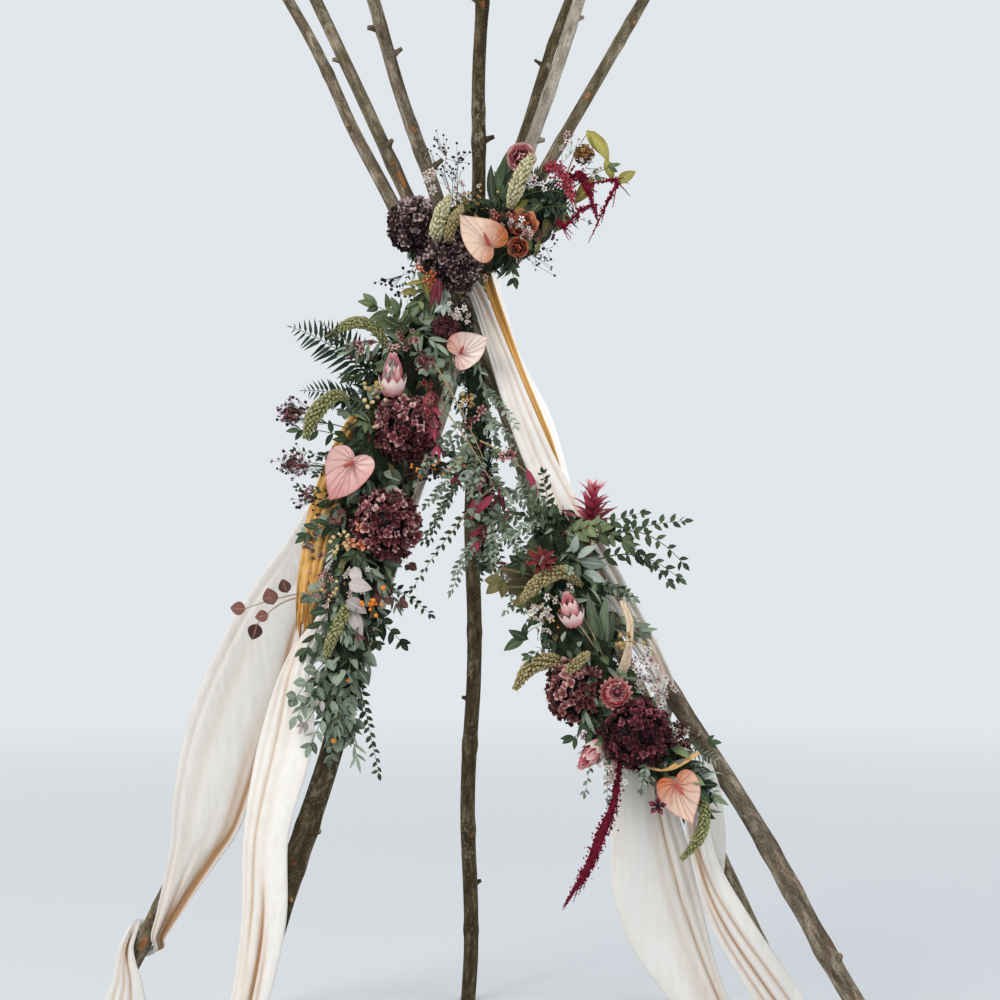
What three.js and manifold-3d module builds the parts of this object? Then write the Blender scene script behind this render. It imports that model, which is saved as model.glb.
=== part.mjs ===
// Tipi frame: seven rough poles tied near the top, dressed with cloth swags and cloth flower garlands.
// Millimetres, +Z up. The front of the frame faces -Y.

import * as THREE from 'three';
import { mergeVertices } from 'three/addons/utils/BufferGeometryUtils.js';
import Module from 'manifold-3d';

const wasm = await Module();
wasm.setup();

// Driving dimensions

const GAP = 0.35;               // running gap kept between neighbouring pieces
const TIE_HEIGHT = 2390;        // the poles cross here
const BEND_REACH = 350;         // each pole bends gently within this distance of the tie
const TIP_REFERENCE = 3850;     // height at which a pole's tip position is given
const POLE_SIDES = 9;
const POLE_STEPS = 15;
const STUB_SIDES = 5;

const LASHING = { start: 2436, turns: 3, pitch: 15.5, radius: 7, bite: 0.8, stepsPerTurn: 20, sides: 6 };

const DRAPE_SIDES = 12;
const DRAPE_STEPS = 14;
const FLOOR_CLEARANCE = 0.6;

const BARK = {
  olive: 0x5f5546,
  dark: 0x463e37,
  pale: 0xb9afa5,
  brown: 0x6a5c4b,
};
const CLOTH = {
  ivory: 0xe8e2da,
  ochre: 0xc08030,
  sheer: 0xf0ece6,
};

// Poles: foot on the ground, place at the tie, place at the tip reference, real top height, radii at
// foot, tie and tip, sway of the stem as [size, waves, heading], cut branch stubs as
// [height, heading, length, radius].

const POLES = [
  {
    name: 'pole_front_right', foot: [1273, -950], tie: [-83, -191], tip: [-793, 364], top: 3860,
    radii: [26, 23.2, 18], sway: [9, 3.1, 30], bark: BARK.brown,
    stubs: [[1330, 200, 13, 8], [640, 320, 12, 9], [2980, 250, 16, 7], [3420, 60, 14, 7]],
  },
  {
    name: 'pole_right', foot: [1119, 450], tie: [-37.5, -73], tip: [-727, -373], top: 3720,
    radii: [27, 23.2, 18], sway: [8, 2.3, 100], bark: BARK.olive,
    stubs: [[720, 300, 14, 8], [2870, 330, 16, 8], [3120, 200, 14, 7]],
  },
  {
    name: 'pole_back_right', foot: [787, 1150], tie: [6, -18], tip: [-508, -727], top: 3800,
    radii: [28, 23.2, 18.5], sway: [10, 2.7, 200], bark: BARK.brown,
    stubs: [[900, 40, 15, 8], [2790, 10, 34, 8], [3080, 0, 22, 7], [3150, 190, 20, 8], [3300, 170, 24, 6]],
  },
  {
    name: 'pole_back_centre', foot: [-45, 1200], tie: [0, 34], tip: [49, -669], top: 3900,
    radii: [29, 23.2, 19], sway: [9, 2.2, 0], bark: BARK.dark,
    stubs: [[480, 10, 15, 8], [1180, 190, 14, 7], [2880, 5, 26, 8], [3230, 180, 14, 7]],
  },
  {
    name: 'pole_back_left', foot: [-873, 1050], tie: [-15, 85], tip: [511, -508], top: 3760,
    radii: [28, 23.2, 18], sway: [9, 2.9, 120], bark: BARK.pale,
    stubs: [[840, 230, 14, 8], [2910, 350, 16, 8], [3090, 160, 14, 8], [3230, 20, 12, 7]],
  },
  {
    name: 'pole_left', foot: [-1284, 300], tie: [-69, 120], tip: [779, 51], top: 3830,
    radii: [29, 23.2, 19], sway: [8, 2.4, 280], bark: BARK.olive,
    stubs: [[520, 250, 14, 9], [2840, 250, 16, 8], [3060, 90, 15, 7], [3330, 300, 15, 8]],
  },
  {
    name: 'pole_front_left', foot: [-674, -950], tie: [-63, 5], tip: [406, 597], top: 3950,
    radii: [38, 23.2, 17.5], sway: [10, 2.6, 40], bark: BARK.dark,
    stubs: [[760, 300, 22, 10], [930, 330, 16, 9], [3310, 190, 24, 6], [3560, 20, 14, 7]],
  },
];

// Swags of cloth: stations down the middle of each one as [x, y, z, width, thickness, turn].

const DRAPES = [
  {
    name: 'drape_ivory_left_outer', cloth: CLOTH.ivory, folds: 3,
    stations: [
      [-120, -130, 2445, 60, 34, 0], [-225, -120, 2190, 90, 34, 6], [-350, -60, 1960, 116, 34, 8],
      [-500, 14, 1690, 150, 36, 6], [-618, 62, 1490, 196, 38, 4], [-705, 102, 1282, 248, 38, 2],
      [-780, 134, 1073, 258, 38, 0], [-838, 160, 859, 224, 38, 0], [-876, 180, 753, 168, 36, 0],
      [-922, 196, 649, 116, 34, 0], [-968, 208, 544, 70, 30, 0], [-1000, 224, 472, 44, 28, 0],
      [-1006, 266, 430, 30, 30, 20], [-1056, 317, 402, 30, 30, 80], [-1096, 320, 408, 26, 28, 90],
    ],
  },
  {
    name: 'drape_ivory_left_fall', cloth: CLOTH.ivory, folds: 2,
    stations: [
      [-1044, 318, 470, 28, 32, 90], [-1074, 290, 500, 30, 32, 140], [-1084, 256, 490, 32, 32, 180],
      [-1098, 222, 441, 44, 30, 180], [-1096, 207, 387, 70, 30, 180], [-1090, 202, 336, 96, 32, 180],
      [-1095, 198, 263, 136, 34, 180], [-1106, 186, 130, 170, 36, 180], [-1116, 170, 24, 200, 34, 180],
    ],
  },
  {
    name: 'drape_ivory_left_inner', cloth: CLOTH.ivory, folds: 2,
    stations: [
      [-345, -430, 1540, 46, 26, 0], [-460, -510, 1390, 60, 28, -6], [-478, -620, 1180, 146, 34, -8],
      [-512, -720, 960, 122, 36, -10], [-504, -800, 760, 116, 38, -12], [-532, -862, 560, 92, 40, -8],
      [-590, -915, 340, 104, 40, 0], [-640, -1000, 150, 130, 36, 6], [-655, -1040, 24, 170, 34, 8],
    ],
  },
  {
    name: 'drape_ochre_left', cloth: CLOTH.ochre, folds: 2,
    stations: [
      [-100, -200, 2415, 34, 18, 0], [-215, -205, 2235, 50, 22, 10], [-350, -240, 1995, 84, 22, 16],
      [-425, -285, 1795, 84, 20, 6], [-452, -345, 1620, 70, 16, -8], [-468, -390, 1460, 44, 12, -16],
    ],
  },
  {
    name: 'drape_ivory_right_upper', cloth: CLOTH.ivory, folds: 2,
    stations: [
      [-45, -222, 2510, 36, 24, 0], [8, -262, 2420, 44, 24, 0], [52, -290, 2300, 56, 26, 8], [118, -325, 2110, 80, 28, 12],
      [182, -368, 1940, 92, 30, 10], [252, -420, 1790, 96, 32, 4], [330, -478, 1650, 92, 32, -4],
      [408, -520, 1510, 78, 32, -8], [478, -565, 1390, 60, 30, -4], [512, -555, 1300, 56, 26, 10],
      [498, -530, 1210, 60, 26, 20],
    ],
  },
  {
    name: 'drape_ivory_right_lower', cloth: CLOTH.ivory, folds: 3,
    stations: [
      [480, -588, 1170, 90, 30, 0], [452, -604, 1050, 150, 36, 4], [466, -606, 870, 212, 40, 6],
      [506, -598, 700, 206, 42, 8], [602, -585, 500, 134, 42, 8], [712, -560, 290, 140, 40, 6],
      [800, -540, 120, 165, 38, 4], [850, -535, 24, 190, 34, 2],
    ],
  },
  {
    name: 'drape_ivory_right_tail', cloth: CLOTH.ivory, folds: 2,
    stations: [
      [585, -655, 1130, 50, 24, 0], [578, -672, 1000, 56, 28, -4], [600, -672, 870, 66, 30, -8],
      [669, -662, 713, 106, 32, -8], [804, -645, 500, 118, 34, -6], [928, -632, 290, 122, 34, -4],
      [1030, -625, 120, 140, 34, 0], [1075, -620, 24, 160, 32, 0],
    ],
  },
  {
    name: 'drape_ochre_right', cloth: CLOTH.ochre, folds: 1,
    stations: [
      [20, -200, 2545, 34, 18, 0], [86, -250, 2360, 40, 18, 20], [138, -290, 2200, 46, 18, 40],
      [205, -318, 2010, 34, 16, 60], [250, -345, 1880, 22, 12, 80],
    ],
  },
  {
    name: 'drape_sheer_right', cloth: CLOTH.sheer, folds: 1,
    stations: [
      [62, -170, 2530, 30, 12, 0], [100, -200, 2400, 36, 14, 0], [140, -222, 2240, 44, 14, 6], [212, -255, 2060, 50, 14, 10],
      [272, -296, 1860, 40, 12, 14],
    ],
  },
];

// Garland cores: the packed moss and leaf backing that the blooms are wired to, as [x, y, z, radius].

const GARLANDS = [
  {
    name: 'garland_crown', colour: 0x38402e,
    stations: [
      [-185, -235, 2625, 60], [-90, -255, 2570, 108], [40, -250, 2575, 118], [150, -245, 2640, 95],
      [265, -240, 2715, 52],
    ],
    sprays: [
      [[240, -260, 2720], [405, -300, 2905], 84, 3], [[200, -270, 2650], [420, -330, 2790], 80, 3],
      [[60, -260, 2660], [110, -270, 2890], 80, 2], [[-40, -270, 2640], [-75, -310, 2865], 44, 3],
      [[-130, -290, 2540], [-205, -350, 2420], 44, 3],
    ],
  },
  {
    name: 'garland_left', colour: 0x3c4a34,
    stations: [
      [-100, -250, 2405, 50], [-160, -235, 2275, 80], [-230, -245, 2100, 108], [-280, -290, 1915, 115],
      [-300, -345, 1735, 100], [-330, -415, 1540, 85], [-345, -480, 1360, 62], [-350, -530, 1175, 26],
    ],
    sprays: [
      [[-240, -290, 2120], [-505, -380, 2310], 104, 3], [[-280, -330, 1950], [-510, -400, 2010], 76, 3],
      [[-300, -360, 1780], [-510, -420, 1850], 70, 3], [[-330, -420, 1600], [-615, -450, 1450], 64, 3],
      [[-180, -280, 2260], [-80, -360, 2170], 76, 2], [[-330, -470, 1420], [-245, -540, 1090], 62, 4],
      [[-350, -470, 1380], [-450, -530, 1200], 70, 3], [[-310, -420, 1560], [-215, -480, 1420], 80, 2],
    ],
  },
  {
    name: 'garland_centre', colour: 0x4c5a3c,
    stations: [
      [-40, -275, 2400, 34], [-5, -300, 2180, 44], [15, -320, 2030, 46], [30, -340, 1890, 40],
      [40, -360, 1760, 30], [35, -370, 1620, 14],
    ],
    sprays: [
      [[5, -320, 2080], [150, -370, 1940], 56, 3], [[15, -330, 1960], [-130, -380, 1800], 54, 3],
      [[30, -340, 1880], [180, -400, 1770], 56, 3], [[35, -360, 1760], [-60, -390, 1560], 50, 3],
    ],
  },
  {
    name: 'garland_right', colour: 0x3a4833,
    stations: [
      [210, -450, 1790, 44], [255, -510, 1640, 90], [270, -560, 1500, 110], [320, -610, 1330, 110],
      [410, -655, 1210, 105], [520, -680, 1110, 62], [590, -690, 1030, 26],
    ],
    sprays: [
      [[320, -530, 1690], [565, -580, 1790], 66, 3], [[320, -550, 1610], [600, -590, 1640], 70, 3],
      [[230, -530, 1650], [55, -570, 1560], 94, 3], [[300, -570, 1480], [130, -610, 1440], 100, 2],
      [[320, -570, 1560], [440, -620, 1420], 94, 2], [[340, -640, 1260], [235, -690, 1090], 62, 3],
      [[550, -680, 1110], [670, -700, 1020], 54, 2], [[210, -470, 1780], [115, -510, 1900], 56, 2],
    ],
  },
];

// Blooms: round heads as [x, y, z, radius].

const ROUND_BLOOMS = [
  { name: 'hydrangea_crown_left', at: [-165, -340, 2600, 72], colour: 0x4a3040 },
  { name: 'hydrangea_crown_centre', at: [-65, -350, 2490, 84], colour: 0x52323c },
  { name: 'hydrangea_left_upper', at: [-185, -365, 2020, 86], colour: 0x8a3f45 },
  { name: 'hydrangea_left_lower', at: [-235, -430, 1745, 90], colour: 0x7c3540 },
  { name: 'hydrangea_right_upper', at: [275, -655, 1310, 78], colour: 0x8e5a5c },
  { name: 'hydrangea_right_lower', at: [420, -730, 1210, 84], colour: 0x5c2430 },
  { name: 'rose_crown', at: [140, -350, 2600, 44], colour: 0xa8502c },
  { name: 'sedum_left', at: [-80, -325, 2300, 44], colour: 0x7c2c34 },
];

// Heart-shaped blooms: middle, length, width, the way the tip points and the way the face looks.

const HEART_BLOOMS = [
  {
    name: 'anthurium_crown', at: [35, -430, 2545], length: 165, width: 130, colour: 0xe0a088,
    tip: [0.25, -0.35, -0.9], face: [0.25, -0.9, 0.3],
  },
  {
    name: 'anthurium_left_upper', at: [-15, -375, 2240], length: 130, width: 125, colour: 0xe2aea4,
    tip: [-0.8, -0.1, -0.45], face: [0.1, -0.95, 0.2],
  },
  {
    name: 'anthurium_left_lower', at: [-345, -430, 1885], length: 185, width: 145, colour: 0xe0978c,
    tip: [-0.25, -0.2, -0.95], face: [-0.1, -0.95, 0.2],
  },
  {
    name: 'anthurium_right', at: [525, -755, 1060], length: 180, width: 130, colour: 0xe8a080,
    tip: [0.12, -0.1, -0.98], face: [0.1, -0.97, 0.12],
  },
];

// Cup-shaped blooms: base, axis, length and mouth radius.

const CUP_BLOOMS = [
  { name: 'protea_left', at: [-225, -362, 2125], axis: [-0.1, -0.35, 0.9], size: [105, 42], colour: 0xe09a9a },
  { name: 'protea_right_upper', at: [280, -640, 1450], axis: [-0.3, -0.3, 0.9], size: [100, 40], colour: 0xe08a88 },
  { name: 'protea_right_open', at: [365, -680, 1312], axis: [0.1, -0.95, 0.2], size: [62, 42], colour: 0xc83a44 },
  { name: 'protea_right_bud', at: [345, -680, 1160], axis: [-0.75, -0.4, -0.2], size: [80, 30], colour: 0xd05060 },
  { name: 'lily_right', at: [318, -500, 1735], axis: [0.05, -0.25, 0.95], size: [170, 66], colour: 0xd84858 },
];

// Bristly seed heads and hanging tassels: stations as [x, y, z, radius].

const TAILS = [
  {
    name: 'seed_head_crown_left', colour: 0x9fa878,
    stations: [[-60, -345, 2580, 10], [-82, -400, 2590, 26], [-66, -408, 2645, 24], [-50, -385, 2690, 8]],
  },
  {
    name: 'seed_head_crown_right', colour: 0xa8b080,
    stations: [[120, -310, 2690, 10], [138, -335, 2735, 24], [160, -335, 2790, 22], [180, -320, 2830, 8]],
  },
  {
    name: 'seed_head_left_arch', colour: 0x8e9868,
    stations: [[-230, -300, 2200, 8], [-268, -340, 2295, 16], [-335, -360, 2318, 18], [-410, -360, 2275, 8]],
  },
  {
    name: 'seed_head_left_lower', colour: 0x8e9868,
    stations: [[-325, -470, 1550, 8], [-340, -515, 1505, 18], [-372, -525, 1440, 18], [-392, -520, 1375, 8]],
  },
  {
    name: 'seed_head_right_arch', colour: 0xa8a468,
    stations: [[290, -600, 1580, 8], [240, -640, 1615, 19], [175, -655, 1590, 20], [132, -655, 1540, 8]],
  },
  {
    name: 'seed_head_right_left', colour: 0x98925c,
    stations: [[250, -630, 1375, 10], [205, -660, 1388, 22], [152, -675, 1370, 22], [114, -675, 1315, 8]],
  },
  {
    name: 'seed_head_right_tail', colour: 0x98a060,
    stations: [[575, -690, 1075, 8], [590, -732, 1020, 15], [576, -745, 955, 16], [530, -745, 898, 6]],
  },
  {
    name: 'amaranth_tail_right', colour: 0x8c1830,
    stations: [[385, -690, 1190, 10], [364, -735, 1048, 14], [329, -755, 962, 19], [293, -762, 878, 16], [233, -765, 785, 4]],
  },
  {
    name: 'amaranth_crown', colour: 0x8c2438,
    stations: [[262, -270, 2735, 10], [315, -310, 2750, 24], [352, -330, 2680, 20], [388, -330, 2565, 6]],
  },
];

// Solids: a closed three.js geometry becomes a solid, and a solid becomes a geometry again.

function toSolid(geometry) {
  const bare = geometry.clone();
  bare.deleteAttribute('normal');
  bare.deleteAttribute('uv');
  const merged = mergeVertices(bare, 1e-3);
  const vertProperties = Float32Array.from(merged.attributes.position.array);
  const triVerts = Uint32Array.from(merged.index.array);
  const solid = new wasm.Manifold(new wasm.Mesh({ numProp: 3, vertProperties, triVerts }));
  if (solid.volume() > 0) {
    return solid;
  }
  for (let i = 0; i < triVerts.length; i += 3) {
    [triVerts[i + 1], triVerts[i + 2]] = [triVerts[i + 2], triVerts[i + 1]];
  }
  return new wasm.Manifold(new wasm.Mesh({ numProp: 3, vertProperties, triVerts }));
}

function toGeometry(solid) {
  const mesh = solid.getMesh();
  const geometry = new THREE.BufferGeometry();
  geometry.setAttribute('position', new THREE.BufferAttribute(mesh.vertProperties, 3));
  geometry.setIndex(new THREE.BufferAttribute(mesh.triVerts, 1));
  geometry.computeVertexNormals();
  return geometry;
}

function largestBody(solid) {
  const bodies = solid.decompose();
  bodies.sort((a, b) => b.volume() - a.volume());
  return bodies[0];
}

// Bends a capped cylinder onto a path. place gets t from 0 to 1 and a point of the unit circle.

function sweep(sides, steps, place) {
  const geometry = new THREE.CylinderGeometry(1, 1, 1, sides, steps);
  const position = geometry.attributes.position;
  for (let i = 0; i < position.count; i += 1) {
    const t = position.getY(i) + 0.5;
    const point = place(t, position.getX(i), position.getZ(i));
    position.setXYZ(i, point.x, point.y, point.z);
  }
  return geometry;
}

// Two directions square to a tangent, the first as near as can be to a wished-for side.

function crossFrame(tangent, wish) {
  const side = wish.clone().addScaledVector(tangent, -wish.dot(tangent)).normalize();
  const normal = new THREE.Vector3().crossVectors(tangent, side);
  return { side, normal };
}

function heading(degrees) {
  const angle = THREE.MathUtils.degToRad(degrees);
  return new THREE.Vector3(Math.cos(angle), Math.sin(angle), 0);
}

// Poles

class PoleCurve extends THREE.Curve {
  constructor(spec) {
    super();
    this.spec = spec;
    this.lean = new THREE.Vector2(...spec.tie).sub(new THREE.Vector2(...spec.foot)).divideScalar(TIE_HEIGHT);
    this.rise = new THREE.Vector2(...spec.tip).sub(new THREE.Vector2(...spec.tie));
    this.rise.divideScalar(TIP_REFERENCE - TIE_HEIGHT);
  }

  getPoint(t, target = new THREE.Vector3()) {
    const { foot, sway, top } = this.spec;
    const z = t * top;
    const above = z - TIE_HEIGHT;
    const bend = Math.abs(above) < BEND_REACH ? (above + BEND_REACH) ** 2 / (4 * BEND_REACH) : Math.max(above, 0);
    const x = foot[0] + this.lean.x * z + (this.rise.x - this.lean.x) * bend;
    const y = foot[1] + this.lean.y * z + (this.rise.y - this.lean.y) * bend;
    const [size, waves, direction] = sway;
    const fade = THREE.MathUtils.smoothstep(Math.abs(above), BEND_REACH, 2 * BEND_REACH);
    const offset = size * fade * Math.sin(2 * Math.PI * waves * z / TIE_HEIGHT);
    return target.set(x, y, z).addScaledVector(heading(direction), offset);
  }

  at(height) {
    return this.getPoint(height / this.spec.top);
  }

  radius(height) {
    const [foot, tie, tip] = this.spec.radii;
    if (height < TIE_HEIGHT) {
      return THREE.MathUtils.lerp(foot, tie, height / TIE_HEIGHT);
    }
    return THREE.MathUtils.lerp(tie, tip, (height - TIE_HEIGHT) / (this.spec.top - TIE_HEIGHT));
  }
}

function poleStem(curve, grow) {
  return sweep(POLE_SIDES, POLE_STEPS, (t, across, along) => {
    const centre = curve.getPoint(t);
    const tangent = curve.getTangent(Math.min(Math.max(t, 0.002), 0.998));
    const { side, normal } = crossFrame(tangent, new THREE.Vector3(1, 0, 0));
    const radius = curve.radius(centre.z) + grow;
    const reach = side.multiplyScalar(across * radius).addScaledVector(normal, along * radius);
    if (t === 0) {
      reach.addScaledVector(tangent, -reach.z / tangent.z);
    }
    return centre.add(reach);
  });
}

function branchStub(curve, [height, direction, length, radius], grow) {
  const sink = 12;
  const base = curve.at(height);
  const tangent = curve.getTangent(height / curve.spec.top);
  const out = crossFrame(tangent, heading(direction)).side.addScaledVector(tangent, 0.35).normalize();
  const reach = curve.radius(height) + length;
  const stub = new THREE.CylinderGeometry(radius * 0.72 + grow, radius + grow, reach - sink + grow, STUB_SIDES);
  stub.translate(0, (reach + sink + grow) / 2, 0);
  stub.applyQuaternion(new THREE.Quaternion().setFromUnitVectors(new THREE.Vector3(0, 1, 0), out));
  stub.translate(base.x, base.y, base.z);
  return stub;
}

function poleSolid(curve, grow) {
  let solid = toSolid(poleStem(curve, grow));
  for (const stub of curve.spec.stubs) {
    solid = solid.add(toSolid(branchStub(curve, stub, grow)));
  }
  return solid;
}

// Rope lashing: taut turns round the outside of all the poles, touching each pole that it passes.

function lashingPoint(curves, turn) {
  const angle = 2 * Math.PI * turn;
  const z = LASHING.start + LASHING.pitch * turn;
  const out = new THREE.Vector3(Math.cos(angle), Math.sin(angle), 0);
  let farthest = null;
  let reach = -Infinity;
  for (const curve of curves) {
    const centre = curve.at(z);
    const tangent = curve.getTangent(z / curve.spec.top);
    const lean = new THREE.Vector3(tangent.x, tangent.y, 0);
    const stretch = 1 / tangent.z;
    lean.normalize();
    const cross = new THREE.Vector3(-lean.y, lean.x, 0);
    const radius = curve.radius(z);
    const major = radius * stretch * out.dot(lean);
    const minor = radius * out.dot(cross);
    const support = Math.hypot(major, minor);
    const touch = centre.clone();
    touch.addScaledVector(lean, radius * stretch * major / support);
    touch.addScaledVector(cross, radius * minor / support);
    if (touch.dot(out) > reach) {
      reach = touch.dot(out);
      farthest = touch;
    }
  }
  return farthest.addScaledVector(out, LASHING.radius - LASHING.bite).setZ(z);
}

function lashingGeometry(curves, grow) {
  const points = [];
  const count = LASHING.turns * LASHING.stepsPerTurn;
  for (let i = 0; i <= count; i += 1) {
    points.push(lashingPoint(curves, i / LASHING.stepsPerTurn));
  }
  return sweep(LASHING.sides, count, (t, across, along) => {
    const index = Math.round(t * count);
    const before = points[Math.max(index - 1, 0)];
    const after = points[Math.min(index + 1, count)];
    const tangent = after.clone().sub(before).normalize();
    const { side, normal } = crossFrame(tangent, new THREE.Vector3(0, 0, 1));
    const radius = LASHING.radius + grow;
    return side.multiplyScalar(across * radius).addScaledVector(normal, along * radius).add(points[index]);
  });
}

// A value that follows its stations smoothly, like the curve through their places.

function along(stations, column, t) {
  const scaled = t * (stations.length - 1);
  const low = Math.min(Math.floor(scaled), stations.length - 2);
  return THREE.MathUtils.lerp(stations[low][column], stations[low + 1][column], scaled - low);
}

function stationCurve(stations) {
  return new THREE.CatmullRomCurve3(stations.map(([x, y, z]) => new THREE.Vector3(x, y, z)));
}

// Swags: flat folded bands of cloth that follow their stations and stop just above the floor.

function drapeGeometry(spec, grow) {
  const curve = stationCurve(spec.stations);
  return sweep(DRAPE_SIDES, DRAPE_STEPS, (t, across, depth) => {
    const centre = curve.getPoint(t);
    const tangent = curve.getTangent(t);
    const turn = THREE.MathUtils.degToRad(along(spec.stations, 5, t));
    const wish = new THREE.Vector3(Math.cos(turn), Math.sin(turn), 0);
    const { side, normal } = crossFrame(tangent, wish);
    const half = along(spec.stations, 3, t) / 2;
    const thick = along(spec.stations, 4, t) / 2;
    const fold = 0.28 * thick * Math.sin(Math.PI * spec.folds * across + 1.3 * spec.folds * t);
    centre.addScaledVector(side, across * (half + grow));
    centre.addScaledVector(normal, depth * (thick * 0.72 + grow) + fold);
    centre.z = Math.max(centre.z, FLOOR_CLEARANCE - grow);
    return centre;
  });
}

// Garlands

const GARLAND_SIDES = 10;
const GARLAND_STEPS = 10;
const LEAF_THICKNESS = 7;
const TWIG_RADIUS = 5;

function lumps(t, angle, size) {
  return 1 + size * Math.sin(3 * angle + 17 * t) + size * 0.7 * Math.sin(5 * angle - 29 * t);
}

function roundSweep(stations, sides, steps, grow, unevenness) {
  const curve = stationCurve(stations);
  return sweep(sides, steps, (t, across, depth) => {
    const centre = curve.getPoint(t);
    const { side, normal } = crossFrame(curve.getTangent(t), new THREE.Vector3(1, 0.3, 0));
    const uneven = lumps(t, Math.atan2(depth, across), unevenness);
    const radius = along(stations, 3, t) * uneven + grow;
    return centre.addScaledVector(side, across * radius).addScaledVector(normal, depth * radius);
  });
}

function leafGeometry(length, width, grow) {
  const leaf = new THREE.OctahedronGeometry(1, 0);
  leaf.translate(1, 0, 0);
  leaf.scale(length / 2 + 2 * grow, width / 2 + 3 * grow, LEAF_THICKNESS / 2 + 2 * grow);
  leaf.translate(-2 * grow, 0, 0);
  return leaf;
}

function spraySolid([from, to, leafLength, pairs], grow) {
  const start = new THREE.Vector3(...from);
  const end = new THREE.Vector3(...to);
  const direction = end.clone().sub(start);
  const length = direction.length();
  direction.normalize();
  const twig = new THREE.ConeGeometry(TWIG_RADIUS + 3 * grow, length + 4 * grow, 4);
  twig.translate(0, length / 2, 0);
  twig.applyQuaternion(new THREE.Quaternion().setFromUnitVectors(new THREE.Vector3(0, 1, 0), direction));
  twig.translate(start.x, start.y, start.z);
  let solid = toSolid(twig);
  const { side, normal } = crossFrame(direction, new THREE.Vector3(-direction.z, 0.25, direction.x));
  for (let i = 0; i < 2 * pairs + 1; i += 1) {
    const last = i === 2 * pairs;
    const hand = last ? 0 : (i % 2 ? 1 : -1);
    const share = last ? 0.84 : 0.3 + 0.6 * Math.floor(i / 2) / pairs;
    const outward = direction.clone().addScaledVector(side, 1.3 * hand).normalize();
    const tilt = outward.clone().multiplyScalar(0.4 * hand).add(normal).normalize();
    const across = new THREE.Vector3().crossVectors(tilt, outward).normalize();
    const face = new THREE.Vector3().crossVectors(outward, across);
    const leaf = leafGeometry(leafLength, leafLength * 0.42, grow);
    leaf.applyMatrix4(new THREE.Matrix4().makeBasis(outward, across, face));
    const foot = start.clone().addScaledVector(direction, length * share);
    leaf.translate(foot.x, foot.y, foot.z);
    solid = solid.add(toSolid(leaf));
  }
  return solid;
}

function garlandSolid(spec, grow) {
  let solid = toSolid(roundSweep(spec.stations, GARLAND_SIDES, GARLAND_STEPS, grow, 0.1));
  for (const spray of spec.sprays) {
    solid = solid.add(spraySolid(spray, grow));
  }
  return solid;
}

// Blooms

const STEM_LENGTH = 150;

function roundBloom({ at: [x, y, z, size] }, grow) {
  const ball = new THREE.SphereGeometry(1, 10, 7);
  const position = ball.attributes.position;
  const point = new THREE.Vector3();
  for (let i = 0; i < position.count; i += 1) {
    point.fromBufferAttribute(position, i);
    const uneven = 1 + 0.06 * Math.sin(9 * point.x + 4) * Math.sin(8 * point.y) + 0.05 * Math.sin(11 * point.z + x);
    point.multiplyScalar(size * uneven + grow);
    point.y *= 0.86;
    position.setXYZ(i, point.x + x, point.y + y, point.z + z);
  }
  return toSolid(ball);
}

function heartBloom(spec, grow) {
  const long = spec.length + 2 * grow;
  const half = spec.width / 2 + grow;
  const heart = new THREE.Shape();
  heart.moveTo(0, long * 0.3);
  heart.bezierCurveTo(half * 0.5, long * 0.52, half * 1.15, long * 0.38, half, long * 0.08);
  heart.bezierCurveTo(half * 0.9, -long * 0.2, half * 0.25, -long * 0.38, 0, -long * 0.52);
  heart.bezierCurveTo(-half * 0.25, -long * 0.38, -half * 0.9, -long * 0.2, -half, long * 0.08);
  heart.bezierCurveTo(-half * 1.15, long * 0.38, -half * 0.5, long * 0.52, 0, long * 0.3);
  const depth = 5 + 2 * grow;
  const plate = new THREE.ExtrudeGeometry(heart, { depth, bevelEnabled: false, curveSegments: 4 });
  plate.translate(0, 0, -depth / 2);
  const position = plate.attributes.position;
  for (let i = 0; i < position.count; i += 1) {
    const cup = 0.0016 * position.getX(i) ** 2 + 0.0009 * position.getY(i) ** 2;
    position.setZ(i, position.getZ(i) + cup);
  }
  const spadix = new THREE.CapsuleGeometry(6 + grow, spec.length * 0.42, 2, 7);
  spadix.rotateX(0.35);
  spadix.translate(0, -spec.length * 0.02, 16);
  const stem = new THREE.CylinderGeometry(5 + grow, 5 + grow, STEM_LENGTH, 6);
  stem.rotateX(Math.PI / 2);
  stem.translate(0, spec.length * 0.22, 3 - STEM_LENGTH / 2);
  const solid = toSolid(plate).add(toSolid(spadix)).add(toSolid(stem));
  const face = new THREE.Vector3(...spec.face).normalize();
  const down = new THREE.Vector3(...spec.tip);
  const { side: tip } = crossFrame(face, down);
  const up = tip.negate();
  const across = new THREE.Vector3().crossVectors(up, face);
  const matrix = new THREE.Matrix4().makeBasis(across, up, face);
  matrix.setPosition(...spec.at);
  return solid.transform(matrix.elements);
}

function cupBloom({ at, axis, size: [length, mouth] }, grow) {
  const profile = [
    [0, -0.25, 0], [0.34, -0.2, 1], [0.78, 0.12, 1], [1, 0.55, 1], [0.96, 1, 1], [0.62, 0.94, 1],
    [0.3, 0.86, 1], [0, 0.98, 0],
  ];
  const points = profile.map(([r, h, side]) => new THREE.Vector2(r * mouth + grow * side, h * length));
  points[0].y -= grow;
  points[4].y += grow;
  points[7].y += grow;
  const cup = new THREE.LatheGeometry(points, 11);
  const out = new THREE.Vector3(...axis).normalize();
  cup.applyQuaternion(new THREE.Quaternion().setFromUnitVectors(new THREE.Vector3(0, 1, 0), out));
  cup.translate(...at);
  return toSolid(cup);
}

function tailSolid(spec, grow) {
  return toSolid(roundSweep(spec.stations, 7, 8, grow, 0.05));
}

// Assembly: each piece is cut clear of the ones made before it, so it nests against them.

const group = new THREE.Group();
const taken = [];

function boxesMeet(a, b) {
  return [0, 1, 2].every((axis) => a.min[axis] < b.max[axis] && b.min[axis] < a.max[axis]);
}

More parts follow.
